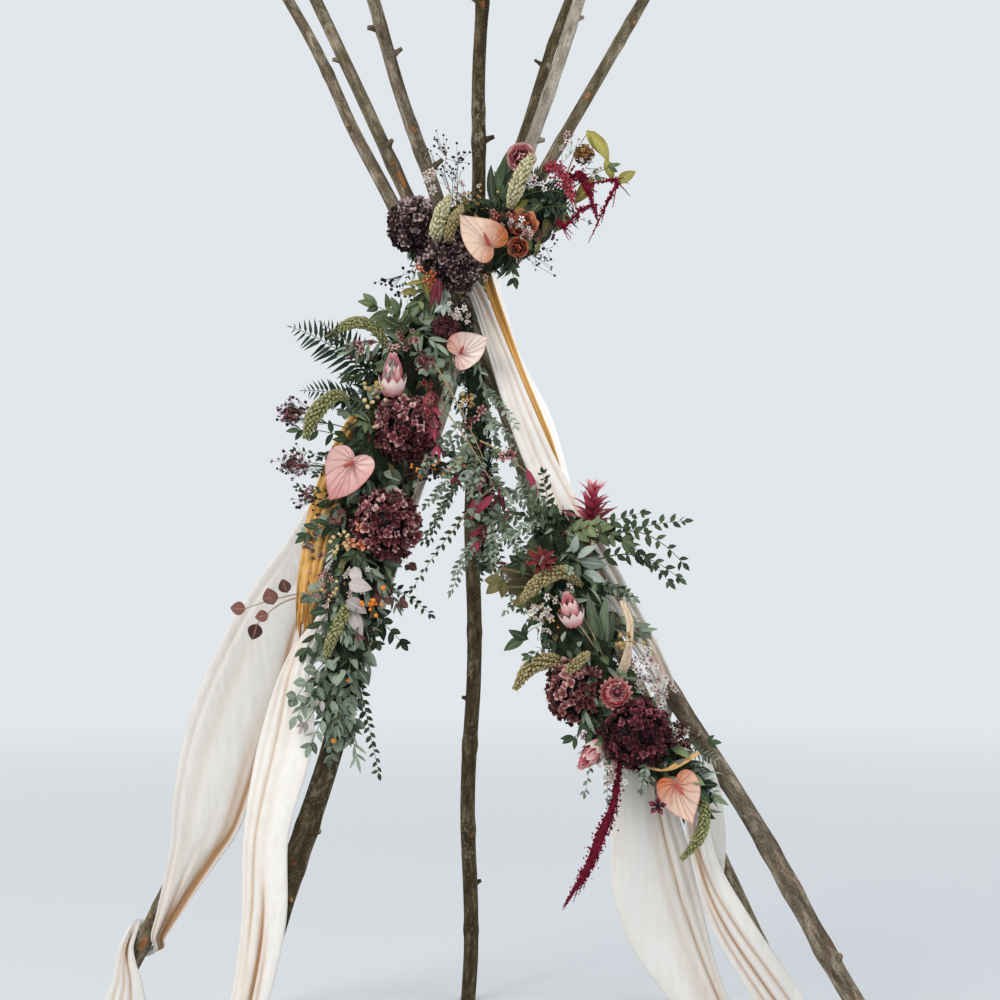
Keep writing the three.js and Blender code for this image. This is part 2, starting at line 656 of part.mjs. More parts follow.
function addPiece(name, solid, grown, material) {
  let cut = solid;
  for (const other of taken) {
    if (boxesMeet(cut.boundingBox(), other.boundingBox())) {
      cut = cut.subtract(other);
    }
  }
  const mesh = new THREE.Mesh(toGeometry(largestBody(cut)), material);
  mesh.name = name;
  group.add(mesh);
  taken.push(grown);
}

function wood(colour) {
  return new THREE.MeshStandardMaterial({ color: colour, roughness: 0.85, metalness: 0 });
}

function cloth(colour) {
  return new THREE.MeshStandardMaterial({ color: colour, roughness: 0.9, metalness: 0 });
}

const poleCurves = POLES.map((spec) => new PoleCurve(spec));
for (const curve of poleCurves) {
  addPiece(curve.spec.name, poleSolid(curve, 0), poleSolid(curve, GAP), wood(curve.spec.bark));
}

const rope = toSolid(lashingGeometry(poleCurves, 0));
addPiece('rope_lashing', rope, toSolid(lashingGeometry(poleCurves, GAP)), cloth(0xb89a6a));

for (const spec of DRAPES) {
  const plain = toSolid(drapeGeometry(spec, 0));
  addPiece(spec.name, plain, toSolid(drapeGeometry(spec, GAP)), cloth(spec.cloth));
}

for (const spec of GARLANDS) {
  addPiece(spec.name, garlandSolid(spec, 0), garlandSolid(spec, GAP), cloth(spec.colour));
}

for (const [specs, build] of [
  [ROUND_BLOOMS, roundBloom], [HEART_BLOOMS, heartBloom], [CUP_BLOOMS, cupBloom], [TAILS, tailSolid],
]) {
  for (const spec of specs) {
    addPiece(spec.name, build(spec, 0), build(spec, GAP), cloth(spec.colour));
  }
}

// The origin is the middle of the part's box, on the ground.

const box = new THREE.Box3().setFromObject(group);
const middle = box.getCenter(new THREE.Vector3());
group.position.set(-middle.x, -middle.y, -box.min.z);

export default group;
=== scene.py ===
"""Looks of the tipi frame: bark poles, a rope lashing, cloth swags and garlands of cloth flowers and leaves.

Places and sizes are millimetres in the part's own drawing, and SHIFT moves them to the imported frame. The
flat sizes and the thickness of the cloths, the lights, the floor and the bumps are in metres, as Blender is.
"""

import math

import bpy
import numpy as np
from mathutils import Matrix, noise


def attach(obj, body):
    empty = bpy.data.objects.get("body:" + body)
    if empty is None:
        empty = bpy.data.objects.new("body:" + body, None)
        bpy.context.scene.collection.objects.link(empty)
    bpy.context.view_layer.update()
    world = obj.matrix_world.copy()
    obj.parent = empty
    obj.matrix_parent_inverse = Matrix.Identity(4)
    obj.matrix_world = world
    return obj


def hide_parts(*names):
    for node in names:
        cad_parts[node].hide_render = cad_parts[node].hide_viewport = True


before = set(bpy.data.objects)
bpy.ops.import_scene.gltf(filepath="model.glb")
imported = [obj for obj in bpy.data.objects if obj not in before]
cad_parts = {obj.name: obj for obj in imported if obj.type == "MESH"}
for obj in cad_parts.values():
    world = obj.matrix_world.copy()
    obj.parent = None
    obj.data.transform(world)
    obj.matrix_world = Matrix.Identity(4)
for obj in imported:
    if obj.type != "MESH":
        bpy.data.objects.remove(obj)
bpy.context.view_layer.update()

MM = 0.001
SHIFT = np.array([0.0079, -0.0892, 0.0])
FULL_TURN = 2 * np.pi

# The camera's place, its height at the eye, how far it looks up in degrees, and its lens and sensor

CAMERA = {"x": 76.0, "y": -4430.0, "eye": 1600.0, "pitch": 3.06, "lens": 52.49, "sensor": 36.0}

# Poles: foot, place at the tie, place at the tip reference, top height, radii at foot, tie and tip, sway as
# size, waves and heading, cut branch stubs as height, heading, length and radius, knots as height, heading
# and size, peeled scars as height, heading, length and width. Headings are degrees from +X.

TIE_HEIGHT = 2390.0
BEND_REACH = 350.0
TIP_REFERENCE = 3850.0

POLES = [
    {
        "name": "pole_front_right", "foot": (1273, -950), "tie": (-83, -191), "tip": (-793, 364),
        "top": 3860, "radii": (26, 23.2, 18), "sway": (9, 3.1, 30), "bark": "brown",
        "stubs": [(1330, 200, 13, 8), (640, 320, 12, 9), (2980, 250, 16, 7), (3420, 60, 14, 7)],
        "knots": [(1288, 250, 26), (909, 300, 34), (841, 250, 20), (810, 20, 30), (674, 330, 28),
                  (1080, 150, 22), (520, 230, 26), (350, 300, 22), (2700, 260, 20), (3200, 240, 22)],
        "scars": [(812, 330, 26, 14), (672, 325, 22, 12), (905, 40, 20, 12)],
    },
    {
        "name": "pole_right", "foot": (1119, 450), "tie": (-37.5, -73), "tip": (-727, -373),
        "top": 3720, "radii": (27, 23.2, 18), "sway": (8, 2.3, 100), "bark": "olive",
        "stubs": [(720, 300, 14, 8), (2870, 330, 16, 8), (3120, 200, 14, 7)],
        "knots": [(2824, 290, 26), (2700, 220, 20), (1010, 250, 24), (1500, 280, 20), (420, 300, 22)],
        "scars": [(2780, 292, 74, 22), (2826, 280, 22, 18), (980, 255, 30, 14)],
    },
    {
        "name": "pole_back_right", "foot": (787, 1150), "tie": (6, -18), "tip": (-508, -727),
        "top": 3800, "radii": (28, 23.2, 18.5), "sway": (10, 2.7, 200), "bark": "brown",
        "stubs": [(900, 40, 15, 8), (2790, 10, 34, 8), (3080, 0, 22, 7), (3150, 190, 20, 8),
                  (3300, 170, 24, 6)],
        "knots": [(2900, 265, 24), (2836, 200, 22), (2640, 290, 20), (3150, 190, 20), (1400, 250, 24)],
        "scars": [(2902, 268, 26, 20), (1700, 250, 34, 14)],
    },
    {
        "name": "pole_back_centre", "foot": (-45, 1200), "tie": (0, 34), "tip": (49, -669),
        "top": 3900, "radii": (29, 23.2, 19), "sway": (9, 2.2, 0), "bark": "dark",
        "stubs": [(480, 10, 15, 8), (1180, 190, 14, 7), (2880, 5, 26, 8), (3230, 180, 14, 7)],
        "knots": [(3228, 272, 24), (2960, 250, 24), (2880, 340, 26), (1020, 200, 26), (700, 330, 24),
                  (300, 220, 26), (1420, 300, 22)],
        "scars": [(3228, 272, 24, 20), (2700, 275, 40, 12), (690, 300, 30, 12)],
    },
    {
        "name": "pole_back_left", "foot": (-873, 1050), "tie": (-15, 85), "tip": (511, -508),
        "top": 3760, "radii": (28, 23.2, 18), "sway": (9, 2.9, 120), "bark": "pale",
        "stubs": [(840, 230, 14, 8), (2910, 350, 16, 8), (3090, 160, 14, 8), (3230, 20, 12, 7)],
        "knots": [(3200, 280, 20), (3030, 250, 24), (2880, 255, 22), (1300, 280, 24)],
        "scars": [(1290, 270, 24, 12)],
    },
    {
        "name": "pole_left", "foot": (-1284, 300), "tie": (-69, 120), "tip": (779, 51),
        "top": 3830, "radii": (29, 23.2, 19), "sway": (8, 2.4, 280), "bark": "olive",
        "stubs": [(520, 250, 14, 9), (2840, 250, 16, 8), (3060, 90, 15, 7), (3330, 300, 15, 8)],
        "knots": [(3347, 280, 22), (3282, 250, 20), (2970, 265, 24), (449, 280, 28), (560, 300, 22),
                  (900, 270, 24), (1500, 250, 22)],
        "scars": [(3110, 270, 40, 18), (452, 285, 70, 24), (520, 265, 26, 18), (3345, 285, 18, 14)],
    },
    {
        "name": "pole_front_left", "foot": (-674, -950), "tie": (-63, 5), "tip": (406, 597),
        "top": 3950, "radii": (38, 23.2, 17.5), "sway": (10, 2.6, 40), "bark": "dark",
        "stubs": [(760, 300, 22, 10), (930, 330, 16, 9), (3310, 190, 24, 6), (3560, 20, 14, 7)],
        "knots": [(856, 270, 34), (946, 330, 28), (560, 240, 30), (1180, 300, 26), (1420, 240, 24),
                  (3400, 190, 20)],
        "scars": [(858, 275, 20, 16), (600, 300, 30, 12)],
    },
]

# Swags: stations as x, y, z, width, thickness and turn; creases as place across the front at the top, middle
# and bottom (-1 to 1), where along the cloth it starts and ends, depth and width in millimetres. The pleats
# gather toward the right (1) or the left (-1), and smooth is the share of their height that the other side
# loses. Crumple and hem are in millimetres, and spare swags take the place of no solid.

PLAIN_SWAG = {"toward": 1, "bulge": 0.9, "crumple": 0, "hem": 0, "spare": False}
DRAPES = [
    {
        "name": "drape_ivory_left_outer", "cloth": "ivory", "flat": (0.40, 2.36), "hangs": "rope_lashing",
        "columns": 72, "pleats": 3, "rows": 139, "smooth": 0.75, "bulge": 1.0,
        "stations": [
            (-120, -130, 2445, 60, 34, 0), (-225, -120, 2190, 90, 34, 6), (-350, -60, 1960, 116, 34, 8),
            (-500, 14, 1690, 150, 36, 6), (-618, 62, 1490, 196, 38, 4), (-705, 102, 1282, 248, 38, 2),
            (-780, 134, 1073, 258, 38, 0), (-838, 160, 859, 224, 38, 0), (-876, 180, 753, 168, 36, 0),
            (-922, 196, 649, 116, 34, 0), (-968, 208, 544, 70, 30, 0), (-1000, 224, 472, 44, 28, 0),
            (-1006, 266, 430, 30, 30, 20), (-1056, 317, 402, 30, 30, 80), (-1096, 320, 408, 26, 28, 90),
        ],
        "creases": [
            ((0.6, 0.82, 0.6), (0.2, 0.97), 16, 15), ((0.3, 0.58, 0.74), (0.35, 0.92), 5, 18),
            ((0.5, 0.66, 0.5), (0.3, 1.0), 6, 34),
            ((-0.5, -0.86, -0.7), (0.2, 0.86), 6, 8), ((-0.1, -0.45, -0.3), (0.25, 0.95), 4, 26),
            ((0.4, 0.16, 0.1), (0.45, 0.98), 4, 18), ((-0.6, -0.1, 0.35), (0.6, 1.0), 7, 9),
        ],
    },
    {
        "name": "drape_ivory_left_fall", "cloth": "ivory", "flat": (0.26, 0.62), "hangs": "pole_left",
        "columns": 48, "pleats": 4, "rows": 52, "smooth": 0.3,
        "stations": [
            (-1044, 318, 470, 28, 32, 90), (-1074, 290, 500, 30, 32, 140), (-1084, 256, 490, 32, 32, 180),
            (-1098, 222, 441, 44, 30, 180), (-1096, 207, 387, 70, 30, 180), (-1090, 202, 336, 96, 32, 180),
            (-1095, 198, 263, 136, 34, 180), (-1106, 186, 130, 170, 36, 180), (-1116, 170, 24, 200, 34, 180),
        ],
        "creases": [
            ((0.1, -0.2, -0.4), (0.2, 1.0), 11, 7), ((-0.3, 0.1, 0.3), (0.3, 1.0), 9, 7),
            ((0.5, 0.5, 0.7), (0.3, 1.0), 8, 7),
        ],
    },
    {
        "name": "drape_ivory_left_inner", "cloth": "ivory", "flat": (0.30, 1.66), "hangs": "pole_front_left",
        "columns": 58, "pleats": 3, "rows": 104, "toward": -1, "smooth": 0.6, "bulge": 1.0,
        "stations": [
            (-345, -430, 1540, 46, 26, 0), (-460, -510, 1390, 60, 28, -6), (-478, -620, 1180, 146, 34, -8),
            (-512, -720, 960, 122, 36, -10), (-504, -800, 760, 116, 38, -12), (-532, -862, 560, 92, 40, -8),
            (-590, -915, 340, 104, 40, 0), (-640, -1000, 150, 130, 36, 6), (-655, -1040, 24, 170, 34, 8),
        ],
        "creases": [
            ((-0.2, -0.55, -0.4), (0.05, 0.6), 9, 9), ((-0.5, -0.86, -0.7), (0.05, 0.9), 6, 8),
            ((0.1, -0.10, 0.0), (0.1, 0.75), 3, 20), ((-0.3, -0.05, 0.5), (0.42, 0.95), 13, 8),
            ((0.1, 0.3, 0.82), (0.46, 0.92), 9, 8), ((-0.6, -0.5, -0.1), (0.5, 1.0), 5, 12),
        ],
    },
    {
        "name": "drape_ochre_left", "cloth": "ochre", "flat": (0.20, 1.16), "hangs": "pole_front_left",
        "columns": 42, "pleats": 3, "rows": 64, "smooth": 0.45,
        "crumple": 5, "hem": 70,
        "stations": [
            (-100, -200, 2415, 34, 18, 0), (-215, -205, 2235, 50, 22, 10), (-350, -240, 1995, 84, 22, 16),
            (-425, -285, 1795, 84, 20, 6), (-452, -345, 1620, 70, 16, -8), (-468, -390, 1460, 44, 12, -16),
        ],
        "creases": [
            ((0.0, -0.3, 0.1), (0.0, 1.0), 6, 8), ((0.4, 0.45, 0.7), (0.1, 1.0), 7, 6),
            ((-0.6, -0.75, -0.3), (0.2, 0.8), 4, 7),
        ],
    },
    {
        "name": "drape_ivory_right_upper", "cloth": "ivory", "flat": (0.21, 1.62), "hangs": "rope_lashing",
        "columns": 56, "pleats": 3, "rows": 99, "smooth": 0.85,
        "stations": [
            (-45, -222, 2510, 36, 24, 0), (8, -262, 2420, 44, 24, 0), (52, -290, 2300, 56, 26, 8),
            (118, -325, 2110, 80, 28, 12), (182, -368, 1940, 92, 30, 10), (252, -420, 1790, 96, 32, 4),
            (330, -478, 1650, 92, 32, -4), (408, -520, 1510, 78, 32, -8), (478, -565, 1390, 60, 30, -4),
            (512, -555, 1300, 56, 26, 10), (498, -530, 1210, 60, 26, 20),
        ],
        "creases": [
            ((0.1, -0.10, 0.2), (0.0, 0.9), 7, 9), ((-0.4, -0.55, -0.3), (0.1, 0.95), 5, 8),
            ((0.5, 0.6, 0.7), (0.0, 1.0), 9, 7), ((-0.7, -0.2, 0.5), (0.5, 1.0), 6, 9),
        ],
    },
    {
        "name": "drape_ivory_right_lower", "cloth": "ivory", "flat": (0.36, 1.24),
        "hangs": "pole_front_right", "columns": 70, "pleats": 3, "rows": 110,
        "smooth": 0.85, "bulge": 1.1,
        "stations": [
            (480, -588, 1170, 90, 30, 0), (452, -604, 1050, 150, 36, 4), (466, -606, 870, 212, 40, 6),
            (506, -598, 700, 206, 42, 8), (602, -585, 500, 134, 42, 8), (712, -560, 290, 140, 40, 6),
            (800, -540, 120, 165, 38, 4), (850, -535, 24, 190, 34, 2),
        ],
        "creases": [
            ((0.15, 0.30, 0.40), (0.0, 0.85), 5, 14), ((0.4, 0.56, 0.66), (0.05, 1.0), 12, 8),
            ((0.62, 0.80, 0.86), (0.1, 1.0), 8, 7), ((-0.2, 0.0, 0.1), (0.4, 1.0), 3, 24),
        ],
    },
    {
        "name": "drape_ivory_right_tail", "cloth": "ivory", "flat": (0.24, 1.26),
        "hangs": "pole_front_right", "columns": 58, "pleats": 3, "rows": 110,
        "smooth": 0.5,
        "stations": [
            (585, -655, 1130, 50, 24, 0), (578, -672, 1000, 56, 28, -4), (600, -672, 870, 66, 30, -8),
            (669, -662, 713, 106, 32, -8), (804, -645, 500, 118, 34, -6), (928, -632, 290, 122, 34, -4),
            (1030, -625, 120, 140, 34, 0), (1075, -620, 24, 160, 32, 0),
        ],
        "creases": [
            ((-0.9, -0.2, 0.5), (0.12, 0.9), 13, 8), ((-0.6, 0.3, 0.8), (0.1, 0.75), 10, 8),
            ((-0.9, -0.6, 0.0), (0.3, 1.0), 11, 8), ((-0.9, -0.8, -0.5), (0.5, 1.0), 7, 8),
        ],
    },
    {
        "name": "sheet_ivory_right_back", "cloth": "ivory", "flat": (0.19, 0.36), "spare": True,
        "hangs": "drape_ivory_right_tail", "columns": 36, "pleats": 2, "rows": 41,
        "toward": -1, "smooth": 0.8,
        "stations": [
            (592, -640, 1120, 60, 10, 0), (600, -634, 1040, 92, 14, 0), (608, -632, 960, 98, 14, 0),
            (618, -634, 880, 74, 12, 0), (636, -638, 800, 26, 10, 0),
        ],
        "creases": [((0.0, -0.1, 0.2), (0.1, 1.0), 4, 8)],
    },
    {
        "name": "sheet_ivory_right_low", "cloth": "ivory", "flat": (0.14, 0.56), "spare": True,
        "hangs": "drape_ivory_right_tail", "columns": 28, "pleats": 2, "rows": 41,
        "smooth": 0.5,
        "stations": [
            (756, -616, 570, 22, 8, 0), (778, -610, 470, 62, 12, 0), (806, -600, 300, 76, 14, 0),
            (846, -590, 130, 84, 14, 0), (872, -586, 24, 96, 12, 0),
        ],
        "creases": [((0.0, 0.3, -0.2), (0.1, 1.0), 5, 6), ((-0.5, -0.3, 0.2), (0.2, 1.0), 4, 6)],
    },
    {
        "name": "drape_ochre_right", "cloth": "ochre", "flat": (0.10, 0.80), "hangs": "rope_lashing",
        "columns": 34, "pleats": 3, "rows": 64, "smooth": 0.2, "bulge": 0.8,
        "stations": [
            (20, -200, 2545, 24, 16, 0), (70, -250, 2370, 30, 16, 20), (126, -290, 2200, 40, 18, 40),
            (205, -318, 2010, 34, 16, 60), (250, -345, 1880, 22, 12, 80),
        ],
        "creases": [
            ((0.0, -0.3, 0.1), (0.0, 1.0), 7, 5), ((0.5, 0.3, 0.6), (0.0, 1.0), 7, 5),
            ((-0.6, -0.7, -0.4), (0.1, 1.0), 5, 4), ((0.2, 0.75, 0.3), (0.2, 1.0), 5, 4),
        ],
    },
    {
        "name": "ribbon_cream_right", "cloth": "cream", "flat": (0.06, 0.23), "spare": True, "slot": "ochre",
        "hangs": "drape_ivory_right_upper", "columns": 20, "pleats": 2, "rows": 35,
        "smooth": 0.2, "bulge": 0.8, "crumple": 4, "hem": 20,
        "stations": [
            (396, -590, 1540, 14, 8, 0), (412, -630, 1490, 20, 9, 10), (410, -645, 1430, 16, 9, -10),
            (398, -648, 1375, 26, 9, 15), (374, -652, 1325, 14, 6, 30),
        ],
        "creases": [((0.0, 0.3, -0.2), (0.0, 1.0), 3, 4)],
    },
    {
        "name": "ribbon_ochre_low", "cloth": "ochre", "flat": (0.034, 0.165), "spare": True,
        "hangs": "garland_right", "columns": 16, "pleats": 2, "rows": 23,
        "smooth": 0.2, "bulge": 0.8,
        "stations": [
            (440, -735, 1128, 8, 5, 0), (485, -752, 1120, 13, 6, 20), (530, -750, 1138, 14, 6, 0),
            (576, -735, 1162, 8, 5, -10),
        ],
        "creases": [((0.0, 0.3, -0.2), (0.0, 1.0), 2, 4)],
    },
    {
        "name": "drape_sheer_right", "cloth": "sheer", "flat": (0.065, 0.74), "hangs": "rope_lashing",
        "columns": 30, "pleats": 3, "rows": 52, "smooth": 0.3, "bulge": 0.8,
        "stations": [
            (50, -170, 2530, 16, 10, 0), (80, -200, 2400, 18, 10, 0), (124, -222, 2240, 24, 12, 6),
            (206, -255, 2060, 36, 14, 10), (266, -296, 1860, 24, 12, 14),
        ],
        "creases": [
            ((0.0, -0.4, 0.1), (0.0, 1.0), 5, 5), ((0.5, 0.3, 0.5), (0.0, 1.0), 5, 5),
            ((-0.5, 0.75, -0.4), (0.1, 1.0), 4, 4),
        ],
    },
]

# Vectors


def unit(vectors):
    vectors = np.asarray(vectors, float)
    return vectors / np.maximum(np.linalg.norm(vectors, axis=-1, keepdims=True), 1e-9)


def smoothstep(value, low, high):
    share = np.clip((value - low) / (high - low), 0, 1)
    return share * share * (3 - 2 * share)


def square_to(tangents, wish):
    """Unit vectors square to the tangents, as near as can be to the wished-for side."""
    wish = np.asarray(wish, float)
    return unit(wish - tangents * np.sum(tangents * wish, axis=-1, keepdims=True))


def flat_to(ups, outs):
    """The outs, less what of them runs along the ups."""
    return outs - ups * np.sum(outs * unit(ups), 1, keepdims=True)


def around(runs, turns):
    """Directions square to the runs, each turned round its run."""
    side = square_to(runs, (1, 0, 0))
    return np.cos(turns)[:, None] * side + np.sin(turns)[:, None] * np.cross(runs, side)


def run_of(line):
    """How far along a line each of its points is."""
    return np.concatenate([[0], np.cumsum(np.linalg.norm(np.diff(line, axis=0), axis=1))])


def bow(start, end, sag=0.0, steps=14):
    """A curved line between two places, with its middle lifted by sag."""
    start, end = np.array(start, float), np.array(end, float)
    t = np.linspace(0, 1, steps + 1)[:, None]
    return start + (end - start) * t + 4 * t * (1 - t) * np.array([0, 0, sag])


def along(line, shares):
    """Points and directions at the given shares of a line."""
    index = np.asarray(shares) * (len(line) - 1)
    spots, runs = (
        np.column_stack([np.interp(index, range(len(line)), values[:, axis]) for axis in range(3)])
        for values in (line, unit(np.gradient(line, axis=0)))
    )
    return spots, unit(runs)


class Trail:
    """A smooth line through stations: each is a place, and then more values, such as the radius there."""

    def __init__(self, stations, steps):
        stations = np.array(stations, float)
        padded = np.vstack([2 * stations[0] - stations[1], stations, 2 * stations[-1] - stations[-2]])
        t = np.linspace(0, len(stations) - 1, steps + 1)
        low = np.minimum(t.astype(int), len(stations) - 2)
        f = (t - low)[:, None]
        a, b, c, d = (padded[low + i] for i in range(4))
        smooth = 0.5 * (
            2 * b + (c - a) * f + (2 * a - 5 * b + 4 * c - d) * f**2 + (3 * b - a - 3 * c + d) * f**3
        )
        self.line = smooth[:, :3]
        self.tangents = unit(np.gradient(self.line, axis=0))
        self.values = smooth[:, 3:]

    def at(self, shares):
        """Points, directions and radii at the given shares of the line."""
        steps = len(self.line) - 1
        return *along(self.line, shares), np.interp(shares * steps, range(steps + 1), self.values[:, 0])


# Shapes: points, marks (along and across, from 0 to 1) and faces, with -1 as a triangle's fourth corner


def grid_faces(rows, columns, closed=False):
    row = np.arange(rows - 1)[:, None] * columns
    following = row + columns
    here = np.arange(columns if closed else columns - 1)
    after = (here + 1) % columns
    return np.stack([row + here, row + after, following + after, following + here], -1).reshape(-1, 4)


def fan_faces(middle, first, second):
    """Triangles from one middle point to each pair of points."""
    return np.column_stack([np.full(len(first), middle), first, second, np.full(len(first), -1)])


def join(*shapes):
    points, marks, faces, size = [], [], [], 0
    for p, m, f in shapes:
        points.append(p)
        marks.append(m)
        faces.append(np.where(f < 0, -1, f + size))
        size += len(p)
    return np.vstack(points), np.vstack(marks), np.vstack(faces)


def tube(line, radius, columns=6, wish=(1, 0.3, 0)):
    """A closed tube along a line. Its radius is one number, one for each row, or one for each point."""
    line = np.asarray(line, float)
    rows = len(line)
    tangents = unit(np.gradient(line, axis=0))
    side = square_to(tangents, wish)
    normal = np.cross(tangents, side)
    angle = np.linspace(0, FULL_TURN, columns, endpoint=False)[None, :, None]
    radius = np.asarray(radius, float)
    if radius.ndim == 1:
        radius = radius[:, None]
    reach = np.broadcast_to(radius, (rows, columns))[..., None]
    ring = line[:, None] + reach * (np.cos(angle) * side[:, None] + np.sin(angle) * normal[:, None])
    points = np.vstack([ring.reshape(-1, 3), line[:1], line[-1:]])
    length_marks = np.repeat(np.linspace(0, 1, rows), columns)
    round_marks = np.tile(np.linspace(0, 1, columns, endpoint=False), rows)
    marks = np.vstack([np.column_stack([length_marks, round_marks]), [[0, 0], [1, 0]]])
    here = np.arange(columns)
    after = (here + 1) % columns
    last = (rows - 1) * columns
    start = fan_faces(rows * columns, after, here)
    end = fan_faces(rows * columns + 1, last + here, last + after)
    return points, marks, np.vstack([grid_faces(rows, columns, True), start, end])


POLE_GAP = 0.12


def ball(columns=6, rows=5, stretch=1.0):
    """A round head of radius 1 along Y. It ends a little short of its poles, where the tube closes it."""
    turn = np.linspace(POLE_GAP, np.pi - POLE_GAP, rows)
    line = np.column_stack([0 * turn, -np.cos(turn) * stretch, 0 * turn])
    return tube(line, np.sin(turn), columns, (1, 0, 0))


def blade(width=0.4, waist=1.0, steps=4, columns=2, curl=0.5, fold=0.25, ripple=0.0, blunt=0.06):
    """A leaf or petal one unit long along +Y, face up. A waist below 1 is widest nearer the base."""
    t = np.linspace(0, 1, steps + 1)[:, None]
    s = np.linspace(-1, 1, columns + 1)[None, :]
    half = width / 2 * np.maximum(np.sin(np.pi * t**waist) ** 0.8, blunt)
    x = s * half
    y = np.sin(curl * t) / curl + 0 * s
    z = -(1 - np.cos(curl * t)) / curl + fold * np.abs(x) + ripple * half * np.sin(5 * np.pi * t) * s
    points = np.stack([x, y, z], -1).reshape(-1, 3)
    marks = np.stack([t + 0 * s, np.abs(s) + 0 * t], -1).reshape(-1, 2)
    return points, marks, grid_faces(steps + 1, columns + 1)


def turned(shape, turn, lift, out, up, size):
    """The shape lifted about X, moved out along Y and up along Z, and turned about Z."""
    points, marks, faces = shape
    x, y, z = (points * size).T
    y, z = y * math.cos(lift) - z * math.sin(lift) + out, y * math.sin(lift) + z * math.cos(lift) + up
    x, y = x * math.cos(turn) - y * math.sin(turn), x * math.sin(turn) + y * math.cos(turn)
    return np.column_stack([x, y, z]), marks, faces


def rosette(petal, count, lift=0.3, out=0.0, up=0.0, start=0.0, size=1.0):
    """Copies of a petal in a ring."""
    return join(*[turned(petal, start + FULL_TURN * i / count, lift, out, up, size) for i in range(count)])


class Heap:
    """Many small shapes gathered into one piece. Its random numbers are the same ones each run."""

    def __init__(self, seed):
        self.random = np.random.default_rng(seed)
        self.points, self.marks, self.faces, self.slots, self.materials, self.size = [], [], [], [], [], 0

    def add(self, shape, material, tint=0.5):
        points, marks, faces = shape
        if material not in self.materials:
            self.materials.append(material)
        tints = np.broadcast_to(np.asarray(tint, float), (len(points),))
        self.points.append(points)
        self.marks.append(np.column_stack([tints, marks]))
        self.faces.append(np.where(faces < 0, -1, faces + self.size))
        self.slots.append(np.full(len(faces), self.materials.index(material)))
        self.size += len(points)

    def scatter(self, shape, origins, outs, ups, sizes, material, tints=None):
        """Copies of a shape: its Y runs along out, and its Z faces up as near as can be."""
        points, marks, faces = shape
        origins = np.atleast_2d(origins)
        count = len(origins)
        out = unit(np.broadcast_to(outs, (count, 3)))
        face = square_to(out, np.broadcast_to(ups, (count, 3)))
        axes = np.stack([np.cross(out, face), out, face], 1)
        sizes = np.broadcast_to(sizes, (count,))
        placed = origins[:, None] + sizes[:, None, None] * np.einsum("pk,ckj->cpj", points, axes)
        if tints is None:
            tints = self.random.random(count)
        shifts = np.repeat(np.arange(count) * len(points), len(faces))[:, None]
        many = np.tile(faces, (count, 1))
        many = np.where(many < 0, -1, many + shifts)
        point_tints = np.repeat(np.broadcast_to(tints, (count,)), len(points))
        self.add((placed.reshape(-1, 3), np.tile(marks, (count, 1)), many), material, point_tints)

    def spread(self, count, size=1.0):
        """Random offsets."""
        return self.random.normal(0, size, (count, 3))

    def build(self, name, slot, *nodes):
        faces = np.vstack(self.faces)
        sizes = np.where(faces[:, 3] < 0, 3, 4)
        mesh = bpy.data.meshes.new(name)
        mesh.vertices.add(self.size)
        mesh.vertices.foreach_set("co", (np.vstack(self.points) * MM + SHIFT).ravel())
        mesh.loops.add(int(sizes.sum()))
        mesh.loops.foreach_set("vertex_index", faces[faces >= 0])
        mesh.polygons.add(len(faces))
        mesh.polygons.foreach_set("loop_start", np.concatenate([[0], np.cumsum(sizes)[:-1]]))
        mesh.polygons.foreach_set("material_index", np.concatenate(self.slots))
        mesh.polygons.foreach_set("use_smooth", np.full(len(faces), True))
        for material in self.materials:
            mesh.materials.append(material)
        mark = mesh.attributes.new("mark", "FLOAT_VECTOR", "POINT")
        mark.data.foreach_set("vector", np.vstack(self.marks).ravel())
        mesh.update(calc_edges=True)
        piece = bpy.data.objects.new(name, mesh)
        bpy.context.scene.collection.objects.link(piece)
        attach(piece, "root")
        if nodes:
            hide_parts(*nodes)
        return piece


# Materials

BLACK = (0.0, 0.0, 0.0, 1.0)
WHITE = (1.0, 1.0, 1.0, 1.0)
DULL_SPECULAR = 0.12
LICHEN = "a8a793"
PORES = "b49c7c"
BARE_WOOD = ("5a3a22", "b47c4e")
# Painted shade: the colour that the shaded parts of the bark are multiplied by
PAINTED_SHADE_TONE = (0.32, 0.28, 0.25, 1.0)
BARK_DUST = (0.4, 0.37, 0.34, 1.0)


def tone(code):
    """A linear colour from its usual six-figure screen code."""
    channels = [int(code[i : i + 2], 16) / 255 for i in (0, 2, 4)]
    linear = [c / 12.92 if c <= 0.04045 else ((c + 0.055) / 1.055) ** 2.4 for c in channels]
    return (*linear, 1.0)


class Value:
    """A shader value, with the usual signs for its arithmetic."""

    def __init__(self, paint, socket):
        self.paint, self.socket = paint, socket

    def maths(self, operation, other=0.0):
        made = self.paint.node("Math", {"operation": operation})
        self.paint.plug(made.inputs[0], self)
        self.paint.plug(made.inputs[1], other)
        return Value(self.paint, made.outputs[0])

    def __add__(self, other):
        return self.maths("ADD", other)

    def __sub__(self, other):
        return self.maths("SUBTRACT", other)

    def __mul__(self, other):
        return self.maths("MULTIPLY", other)


